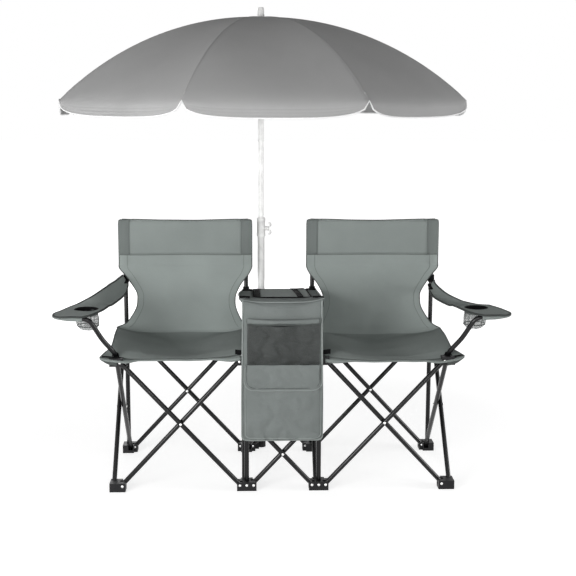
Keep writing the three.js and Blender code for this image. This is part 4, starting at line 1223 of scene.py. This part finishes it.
def add_lid():
    """The padded lid with its lining and zip, the two webbing straps over it and its pull."""
    rows = []
    for t in shares(30):
        y = LID_FRONT + (LID_BACK - LID_FRONT) * t
        row = []
        for s in shares(24):
            puff = lid_puff(s, t)
            point = at(-LID_HALF + 2 * LID_HALF * s, y, table_z(y) + 0.0012 + LID_RISE * puff)
            row.append(point + Z * wobble(point, 0.06, 0.0012) * puff)
        rows.append(row)
    # The lid takes the lighter lid cloth: painted light.
    lid = piece("lid_top", grid(rows), LIT_LID_CLOTH, "cooler_lid", ("cooler_lid",), 0.002)
    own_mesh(lid)
    places = (LID_FRONT, (LID_FRONT + LID_BACK) / 2, LID_BACK)
    base = [[at(x, y, table_z(y) + 0.0008) for x in (-LID_HALF, 0, LID_HALF)] for y in places]
    lining = piece("lid_lining", grid(base), BAG_CLOTH, "cooler_lid")
    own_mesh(lining)
    loop = [row[0] for row in rows] + rows[-1][1:]
    loop += [row[-1] for row in reversed(rows[:-1])] + rows[0][-2:0:-1]
    zip_line = cord([p + Z * 0.0015 for p in loop], 0.0026, loop=True)
    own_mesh(piece("lid_zip", zip_line, WEBBING, "cooler_lid"))
    straps = Shape()
    for foot, head, width in LID_STRAPS:
        stations = []
        for t in shares(24):
            x = foot + (head - foot) * t
            y = LID_FRONT + (LID_BACK - LID_FRONT) * t
            puff = lid_puff((x + LID_HALF) / (2 * LID_HALF), t)
            stations.append(at(x, y, table_z(y) + 0.0042 + LID_RISE * puff))
        sweep(stations, flat_section(width, WEBBING_THICK), up=Z, shape=straps)
    grip = [at(0.048 + 0.012 * i, 0.075 + 0.004 * i, table_z(0.08) + 0.0115) for i in range(4)]
    sweep(grip, flat_section(0.014, WEBBING_THICK), up=Z, shape=straps)
    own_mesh(piece("lid_straps", straps, WEBBING, "cooler_lid"))


def panel_half(z, half, bottom, corner):
    """The half width of a panel with rounded lower corners, at a height."""
    below = z - bottom
    if below >= corner:
        return half
    return half - corner + math.sqrt(max(0.0, corner**2 - (corner - below) ** 2))


def panel_rows(half, bottom, top, corner, front, bulge, seed, steps=(40, 40), sag=0.0, creases=1.0):
    """A hanging sheet: it stands front before the panel, is as full as bulge, and its top edge sags."""
    rows = []
    for t in shares(steps[1]):
        z = bottom + (top - bottom) * (t**1.3 if corner else t)
        reach = panel_half(z, half, bottom, corner)
        row = []
        for j in range(steps[0] + 1):
            s = 2 * j / steps[0] - 1
            full = (1 - s**4) * math.sin(math.pi * min(1.0, t * 1.02))
            drop = sag * (1 - s**2) * t
            point = at(s * reach, PANEL_Y - front - bulge * full, z - drop)
            calm = 1 - s**8
            leaning = Vector((point.x + 0.7 * point.z, 0, point.z - 0.3 * point.x))
            soft = abs(wobble(leaning, 0.06, 0.014, seed)) + abs(wobble(leaning, 0.024, 0.006, seed))
            row.append(point - Y * soft * calm * creases)
        rows.append(row)
    return rows


def hang(name, rows, material=BAG_CLOTH, piping=None, radius=0.0022):
    """A sheet that hangs from the front of the table top, with piping down its sides and along its hem."""
    made = piece(name, grid(rows), material, FRONT_BODY, (), CLOTH)
    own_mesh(made)
    if piping:
        trim = cord([p - Y * 0.001 for p in border_line(rows)], radius)
        trim = piece(f"{name}_piping", trim, piping, FRONT_BODY)
        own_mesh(trim)
    return made


def add_organiser():
    top = RIM_CORNER_Z - 0.003
    back = panel_rows(0.13, PANEL_BOTTOM, top, PANEL_CORNER, 0.0, 0.0, 1.0, (36, 60), 0.02, 0.25)
    for row in back:
        for point in row:
            wide = 1 + 0.03 * min(1.0, max(0.0, (0.62 - point.z) / 0.3))
            point.x = CENTRE.x + (point.x - CENTRE.x) * wide - 0.003
    panel = hang("organiser_panel", back, piping=LIGHT_PIPING, radius=0.003)
    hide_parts("cooler_bag")
    net = panel_rows(0.1195, 0.438, 0.5865, 0, 0.0065, 0.006, 2.0, sag=0.016)
    hang("pocket_net", net, material=NET)
    # A dark strip just below the pocket's binding: painted shadow between the binding and the net.
    mouth_shadow = panel_rows(0.1185, 0.57, 0.584, 0, 0.005, 0.006, 2.0, (30, 4), 0.0, 0.4)
    hang("pocket_mouth_shadow", mouth_shadow, material=BINDING)
    binding = panel_rows(0.121, 0.5815, 0.5965, 0, 0.009, 0.005, 2.0, (30, 4), 0.0, 0.4)
    for row in binding:
        for point in row:
            point.z -= 0.004 * (1 - ((point.x - CENTRE.x) / 0.121) ** 2)
    hang("pocket_binding", binding, piping=SEAM_CLOTH, radius=0.0012)
    low = panel_rows(0.126, 0.19, 0.438, 0.016, 0.0068, 0.0075, 3.0)
    hang("low_pocket", low, piping=LIGHT_PIPING)
    flap = panel_rows(0.129, 0.356, 0.442, 0.03, 0.016, 0.005, 3.0, (40, 22), 0.0, 0.8)
    hang("pocket_flap", flap, piping=LIGHT_PIPING)
    stitch = panel_rows(0.121, 0.364, 0.44, 0.026, 0.019, 0.005, 3.0, (40, 22), 0.0, 0.8)
    seam = piece("flap_seam", cord(border_line(stitch), 0.0011, 6), BINDING, FRONT_BODY)
    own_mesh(seam)
    tops = []
    for t in shares(4):
        row = []
        for j in range(33):
            s = j / 16 - 1
            front = at(s * 0.13 - 0.003, PANEL_Y - 0.002, RIM_CORNER_Z - 0.014 - RIM_SAG * (1 - s**4))
            row.append(rim_point(s).lerp(front, t) - Y * 0.003 * math.sin(math.pi * t))
        tops.append(row)
    hang("organiser_top", tops)


TABLE_LOOPS = {
    "front_left": (-0.1275, -0.228, "column_front_2"),
    "front_right": (0.1155, -0.228, "column_front_3"),
    "back_left": (-0.1175, 0.135, "column_back_2"),
    "back_right": (0.1145, 0.16, "column_back_3"),
}


def add_table_straps():
    """Webbing at the table top's corners, and the ties that hold it to the uprights."""
    for label, (x, y, body) in TABLE_LOOPS.items():
        height = max(table_z(y), RIM_CORNER_Z) + 0.0045 if y < 0 else table_z(y) + 0.0035
        stations = [at(x - 0.018 + 0.009 * i, y, height + 0.0006 * (2 - abs(i - 2))) for i in range(5)]
        bar = sweep(stations, flat_section(0.011, 0.006), up=Z)
        piece(f"table_loop_{label}", bar, WEBBING, body)
    for number in (2, 3):
        x = COLUMN_X[number - 1]
        side = 1 if number == 2 else -1
        back_z = table_z(PLANE_Y - TABLE_BACK_INSET)
        end = Vector((x + side * 0.004, BACK_Y - TABLE_BACK_INSET + 0.008, back_z))
        start = Vector((x, BACK_Y - 0.0102, back_z - 0.004))
        tie = sweep([start, (start + end) / 2 + Z * 0.001, end], flat_section(0.02, 0.0016), up=Z)
        piece(f"upright_tie_{number}", tie, WEBBING, f"column_back_{number}")
        post = Vector((x, BACK_Y, back_z - 0.004))
        body = f"column_back_{number}"
        ring_at(f"upright_loop_{number}", post, Z, POST_RING_R, (0.02, RING_THICK), body)


# Umbrella

APEX = 1.596
RIM = 1.305
CANOPY_R = 0.745
CANOPY_THICK = 0.0008
VALANCE_DROP = 0.052
VALANCE_LEAST = 0.002
VALANCE_FLARE = 0.012
RIM_ROUNDING = 0.03
RIBS = 8
FIRST_RIB = math.radians(-19.5)
RIB_R = 0.0022
RIB_GAP = 0.0022
RIB_START = 0.012
RIB_END_INSET = 0.01
LOWER_POLE_R = 0.013
UPPER_POLE_R = 0.01
LOWER_POLE_TOP = 0.876
UPPER_POLE_BOTTOM = 0.526
COLLAR_BOTTOM = 0.805
COLLAR_R = 0.0165
POLE_FOOT = Vector((POLE.x, POLE.y, 0))
RUNNER_BOTTOM = 1.318
RUNNER_TOP = 1.342
FINIAL_RISE = 0.034
FINIAL_R = 0.013
FINIAL_TOP_R = 0.0105
DOME_R = (CANOPY_R**2 + (APEX - RIM) ** 2) / (2 * (APEX - RIM))
HOLE_R = 0.0115


def dome_z(radius, inset=0.0):
    return APEX - DOME_R + math.sqrt((DOME_R - inset) ** 2 - radius**2)


def around_pole(angle, radius, z):
    return Vector((POLE.x + radius * math.sin(angle), POLE.y - radius * math.cos(angle), z))


def canopy_point(rib, share, radius):
    """A point of the canopy between two ribs: the cloth is taut along straight lines from rib to rib."""
    angle = FIRST_RIB + math.tau * rib / RIBS
    following = angle + math.tau / RIBS
    z = dome_z(radius)
    point = around_pole(angle, radius, z).lerp(around_pole(following, radius, z), share)
    out = radius / CANOPY_R
    slack = 0.003 * out**2 + 0.0125 * max(0.0, math.sin(math.pi * out**1.7)) ** 1.5
    return point - Z * math.sin(math.pi * share) * slack


def flap_point(rib, share, t):
    """A point of the valance: t runs from the canopy's edge down to the hem."""
    top = canopy_point(rib, share, CANOPY_R)
    fullness = (1 - (2 * share - 1) ** 4) ** 0.42
    drop = VALANCE_LEAST + (VALANCE_DROP - VALANCE_LEAST) * fullness
    outward = Vector((top.x - POLE.x, top.y - POLE.y, 0)).normalized()
    flare = VALANCE_FLARE * fullness + 0.003 * math.sin(4 * math.pi * share + 2 * rib)
    return top - Z * drop * t + outward * flare * t


def panel_line(rib, share):
    """One line of a canopy panel: over the dome, round the edge and down the valance."""
    inside = CANOPY_R - RIM_ROUNDING
    line = [canopy_point(rib, share, HOLE_R + (inside - HOLE_R) * i / 30) for i in range(31)]
    below = 0.35
    start, bend, end = line[-1], canopy_point(rib, share, CANOPY_R), flap_point(rib, share, below)
    for i in range(1, 6):
        t = i / 6
        line.append(start * (1 - t) ** 2 + bend * 2 * t * (1 - t) + end * t**2)
    line += [flap_point(rib, share, below + (1 - below) * i / 5) for i in range(6)]
    return line


def add_canopy():
    """One curved sheet over the ribs, its valance hanging from the rim, with seams and white piping."""
    seams = Shape()
    steps = 36
    lines = [panel_line(rib, k / steps) for rib in range(RIBS) for k in range(steps)]
    rings = [list(ring) for ring in zip(*lines)]
    cloth = grid(rings, closed=True)
    made = piece("canopy_cloth", cloth, CANOPY_CLOTH, "umbrella", ("canopy",))
    for line in lines[::steps]:
        hub = Vector((POLE.x, POLE.y, APEX - DOME_R))
        ups = [(point - hub).normalized() for point in line[:32]]
        sweep(line[:32], flat_section(0.005, 0.0008), up=ups, shape=seams)
    piece("canopy_seams", seams, CANOPY_CLOTH, "umbrella")
    piece("valance_trim", cord(rings[-1], 0.0026, loop=True), WHITE_TRIM, "umbrella")


def add_ribs():
    inset = CANOPY_THICK + RIB_GAP + RIB_R
    shape = Shape()
    joint_r = CANOPY_R / 2
    for rib in range(RIBS):
        angle = FIRST_RIB + math.tau * rib / RIBS
        radii = [RIB_START + (CANOPY_R - RIB_START - RIB_END_INSET) * i / 24 for i in range(25)]
        line = [around_pole(angle, radius, dome_z(radius, inset)) for radius in radii]
        rod(line, RIB_R, 10, shape)
        runner = around_pole(angle, 0.013, (RUNNER_BOTTOM + RUNNER_TOP) / 2)
        joint = around_pole(angle, joint_r, dome_z(joint_r, inset + 0.001))
        rod([runner, joint], RIB_R * 0.9, 10, shape)
        clasp = (joint - runner).normalized() * 0.012
        sweep([joint - clasp, joint + clasp * 0.4], flat_section(0.009, 0.0065), up=Z, shape=shape)
        tip = line[-1]
        outward = (tip - line[-2]).normalized()
        rod([tip - outward * 0.012, tip + outward * 0.004], RIB_R * 1.5, 10, shape)
    crown_top = dome_z(0, CANOPY_THICK + RIB_GAP)
    crown = [(0.0108, -0.016), (0.0165, -0.0155), (0.018, -0.012)]
    crown += [(0.018, -0.003), (0.0165, -0.0005), (0.0108, 0)]
    turned(POLE_FOOT, Z, [(radius, crown_top + z) for radius, z in crown], 32, shape)
    runner = [
        (0.0108, RUNNER_BOTTOM),
        (0.0145, RUNNER_BOTTOM),
        (0.0145, RUNNER_BOTTOM + 0.004),
        (0.016, RUNNER_BOTTOM + 0.006),
        (0.016, RUNNER_TOP - 0.004),
        (0.013, RUNNER_TOP),
        (0.0108, RUNNER_TOP),
    ]
    turned(POLE_FOOT, Z, runner, 32, shape)
    piece("ribs", shape, WHITE_STEEL, "umbrella", ("rib_frame",), sharp=40)


def add_poles():
    lower = [
        (LOWER_POLE_R - 0.001, FOOT_FLOOR),
        (LOWER_POLE_R, FOOT_FLOOR + 0.001),
        (LOWER_POLE_R, COLLAR_BOTTOM),
        (COLLAR_R - 0.0012, COLLAR_BOTTOM),
        (COLLAR_R, COLLAR_BOTTOM + 0.0015),
        (COLLAR_R, COLLAR_BOTTOM + 0.013),
        (COLLAR_R - 0.001, COLLAR_BOTTOM + 0.0145),
        (COLLAR_R - 0.001, LOWER_POLE_TOP - 0.014),
        (COLLAR_R, LOWER_POLE_TOP - 0.012),
        (COLLAR_R, LOWER_POLE_TOP - 0.003),
        (COLLAR_R - 0.003, LOWER_POLE_TOP),
        (UPPER_POLE_R + 0.0006, LOWER_POLE_TOP),
        (UPPER_POLE_R + 0.0006, LOWER_POLE_TOP - 0.02),
    ]
    shape = turned(POLE_FOOT, Z, lower, 40)
    clamp = [(0.008, 0.012), (0.008, 0.0205), (0.007, 0.022), (0.0036, 0.022)]
    turned(POLE, X, clamp, 24, shape)
    piece("pole_lower", shape, WHITE_STEEL, "lower_pole", ("lower_pole",), sharp=35)
    peg = APEX + SEAT_GAP
    top = APEX + FINIAL_RISE
    upper = [(UPPER_POLE_R - 0.001, UPPER_POLE_BOTTOM), (UPPER_POLE_R, UPPER_POLE_BOTTOM + 0.001)]
    upper += [(UPPER_POLE_R, peg), (FINIAL_R - 0.0005, peg), (FINIAL_R, peg + 0.0012)]
    upper += [(FINIAL_TOP_R + 0.0003, top - 0.0035), (FINIAL_TOP_R - 0.0006, top - 0.0014)]
    upper += [(FINIAL_TOP_R - 0.0025, top - 0.0002), (0.001, top)]
    shape = turned(POLE_FOOT, Z, upper, 40)
    piece("pole_upper", shape, WHITE_STEEL, "umbrella", ("upper_pole",), sharp=35)
    add_knob()


def add_knob():
    """The clamp screw's wing knob: a hub, a shank and two rounded wings."""
    hub = [(0.003, 0.018), (0.003, 0.0224), (0.0085, 0.0226), (0.009, 0.0235), (0.009, 0.026)]
    shape = turned(POLE, X, hub + [(0.0075, 0.0275), (0.003, 0.0278)], 24)
    for turn in (1, -1):
        stations = []
        scales = []
        for t in shares(12):
            aside = 0.0265 + 0.0065 * math.sin(math.pi * t)
            stations.append(POLE + X * aside + Z * turn * (0.004 + 0.0185 * t))
            scales.append(0.75 + 0.55 * math.sin(math.pi * min(1, t * 0.9)) - 0.5 * max(0, t - 0.85) / 0.15)
        sweep(stations, circle(0.0046, 14, 0.6), up=Y, scales=scales, shape=shape)
    piece("knob", shape, WHITE_STEEL, "clamp_knob", ("clamp_knob",), sharp=50)


# Studio

WORLD_FILL = 0.27
FLOOR_COLOR = 0.82
FLOOR_GLOW = 0.72
FLOOR_SHADE = 0.5
FLOOR_FADE = (0.9, 2.2)
LAMPS = {
    "key": {"place": (-2.2, -3.2, 1.15), "size": 1.6, "power": 98.0},
    "front": {"place": (0.2, -4.5, 1.2), "size": 0.6, "power": 24.0},
    "side": {"place": (3.2, -0.9, 0.85), "size": 1.0, "power": 44.0},
    "back": {"place": (-1.2, 3.6, 1.3), "size": 2.4, "power": 40.0},
}


def seen_directly(tree):
    """1 for the rays that show the background itself: camera, mirror and see-through rays."""
    path = add_node(tree, "LightPath")
    value = path.outputs["Is Camera Ray"]
    for other in ("Is Glossy Ray", "Is Transmission Ray"):
        either = add_node(tree, "Math", {"operation": "MAXIMUM"})
        fill(tree, either.inputs[0], value)
        fill(tree, either.inputs[1], path.outputs[other])
        value = either.outputs[0]
    return value


def add_floor():
    """A white floor that keeps the object's shadow."""
    mesh = bpy.data.meshes.new("floor")
    reach = 30.0
    corners = [(-reach, -reach, 0), (reach, -reach, 0), (reach, reach, 0), (-reach, reach, 0)]
    mesh.from_pydata(corners, [], [[0, 1, 2, 3]])
    floor = bpy.data.objects.new("floor", mesh)
    bpy.context.scene.collection.objects.link(floor)
    material = bpy.data.materials.new("floor")
    material.use_nodes = True
    tree = material.node_tree
    tree.nodes.clear()
    plain = add_node(tree, "BsdfDiffuse", Color=(FLOOR_COLOR, FLOOR_COLOR, FLOOR_COLOR, 1))
    shaded = add_node(tree, "BsdfDiffuse", Color=(FLOOR_SHADE, FLOOR_SHADE, FLOOR_SHADE, 1))
    place = add_node(tree, "NewGeometry").outputs["Position"]
    away = add_node(tree, "VectorMath", {"operation": "LENGTH"}, Vector=place).outputs["Value"]
    near, far = FLOOR_FADE
    fade = add_node(tree, "MapRange", {"interpolation_type": "SMOOTHSTEP"}, Value=away,
                    From_Min=near, From_Max=far, To_Min=FLOOR_GLOW, To_Max=1.0)
    glow = add_node(tree, "Emission", Strength=fade.outputs["Result"])
    white = add_node(tree, "AddShader")
    fill(tree, white.inputs[0], shaded.outputs[0])
    fill(tree, white.inputs[1], glow.outputs[0])
    mix = add_node(tree, "MixShader", Fac=seen_directly(tree))
    fill(tree, mix.inputs[1], plain.outputs[0])
    fill(tree, mix.inputs[2], white.outputs[0])
    add_node(tree, "OutputMaterial", Surface=mix.outputs[0])
    mesh.materials.append(material)


def add_light():
    world = bpy.data.worlds.new("studio")
    bpy.context.scene.world = world
    world.use_nodes = True
    tree = world.node_tree
    tree.nodes.clear()
    strength = add_node(tree, "MapRange", Value=seen_directly(tree), To_Min=WORLD_FILL, To_Max=1.0)
    background = add_node(tree, "Background", Color=(1, 1, 1, 1), Strength=strength.outputs["Result"])
    add_node(tree, "OutputWorld", Surface=background.outputs[0])
    for name, setup in LAMPS.items():
        lamp = bpy.data.lights.new(name, "AREA")
        lamp.size = setup["size"]
        lamp.energy = setup["power"]
        made = bpy.data.objects.new(name, lamp)
        made.location = setup["place"]
        gaze = at(0, 0, 0.7) - made.location
        made.rotation_euler = gaze.to_track_quat("-Z", "Y").to_euler()
        made.visible_camera = False
        bpy.context.scene.collection.objects.link(made)


CAMERA_PLACE = (-0.1241, -3.9307, 1.3138)
CAMERA_TURN = math.radians(2.165)
CAMERA_TILT = math.radians(9.508)
CAMERA_ROLL = math.radians(0.178)
SENSOR = 36.0
LENS = 71.3


def add_camera():
    data = bpy.data.cameras.new("camera")
    data.sensor_width = SENSOR
    data.lens = LENS
    camera = bpy.data.objects.new("camera", data)
    ahead = math.cos(CAMERA_TILT)
    forward = (math.sin(CAMERA_TURN) * ahead, math.cos(CAMERA_TURN) * ahead, -math.sin(CAMERA_TILT))
    forward = Vector(forward)
    level = Vector((math.cos(CAMERA_TURN), -math.sin(CAMERA_TURN), 0))
    above = level.cross(forward)
    right = level * math.cos(CAMERA_ROLL) + above * math.sin(CAMERA_ROLL)
    above = above * math.cos(CAMERA_ROLL) - level * math.sin(CAMERA_ROLL)
    turn = Matrix((right, above, -forward)).transposed().to_4x4()
    camera.matrix_world = Matrix.Translation(at(*CAMERA_PLACE)) @ turn
    bpy.context.scene.collection.objects.link(camera)
    bpy.context.scene.camera = camera


add_camera()
add_row_pairs()
add_side_pairs()
add_columns()
dress_mouldings()
for chair_side in (-1, 1):
    add_sling(chair_side)
    add_armrest(chair_side)
add_table()
add_tub()
add_lid()
add_organiser()
add_table_straps()
add_canopy()
add_ribs()
add_poles()
add_floor()
add_light()
bpy.context.scene.view_settings.view_transform = "Standard"
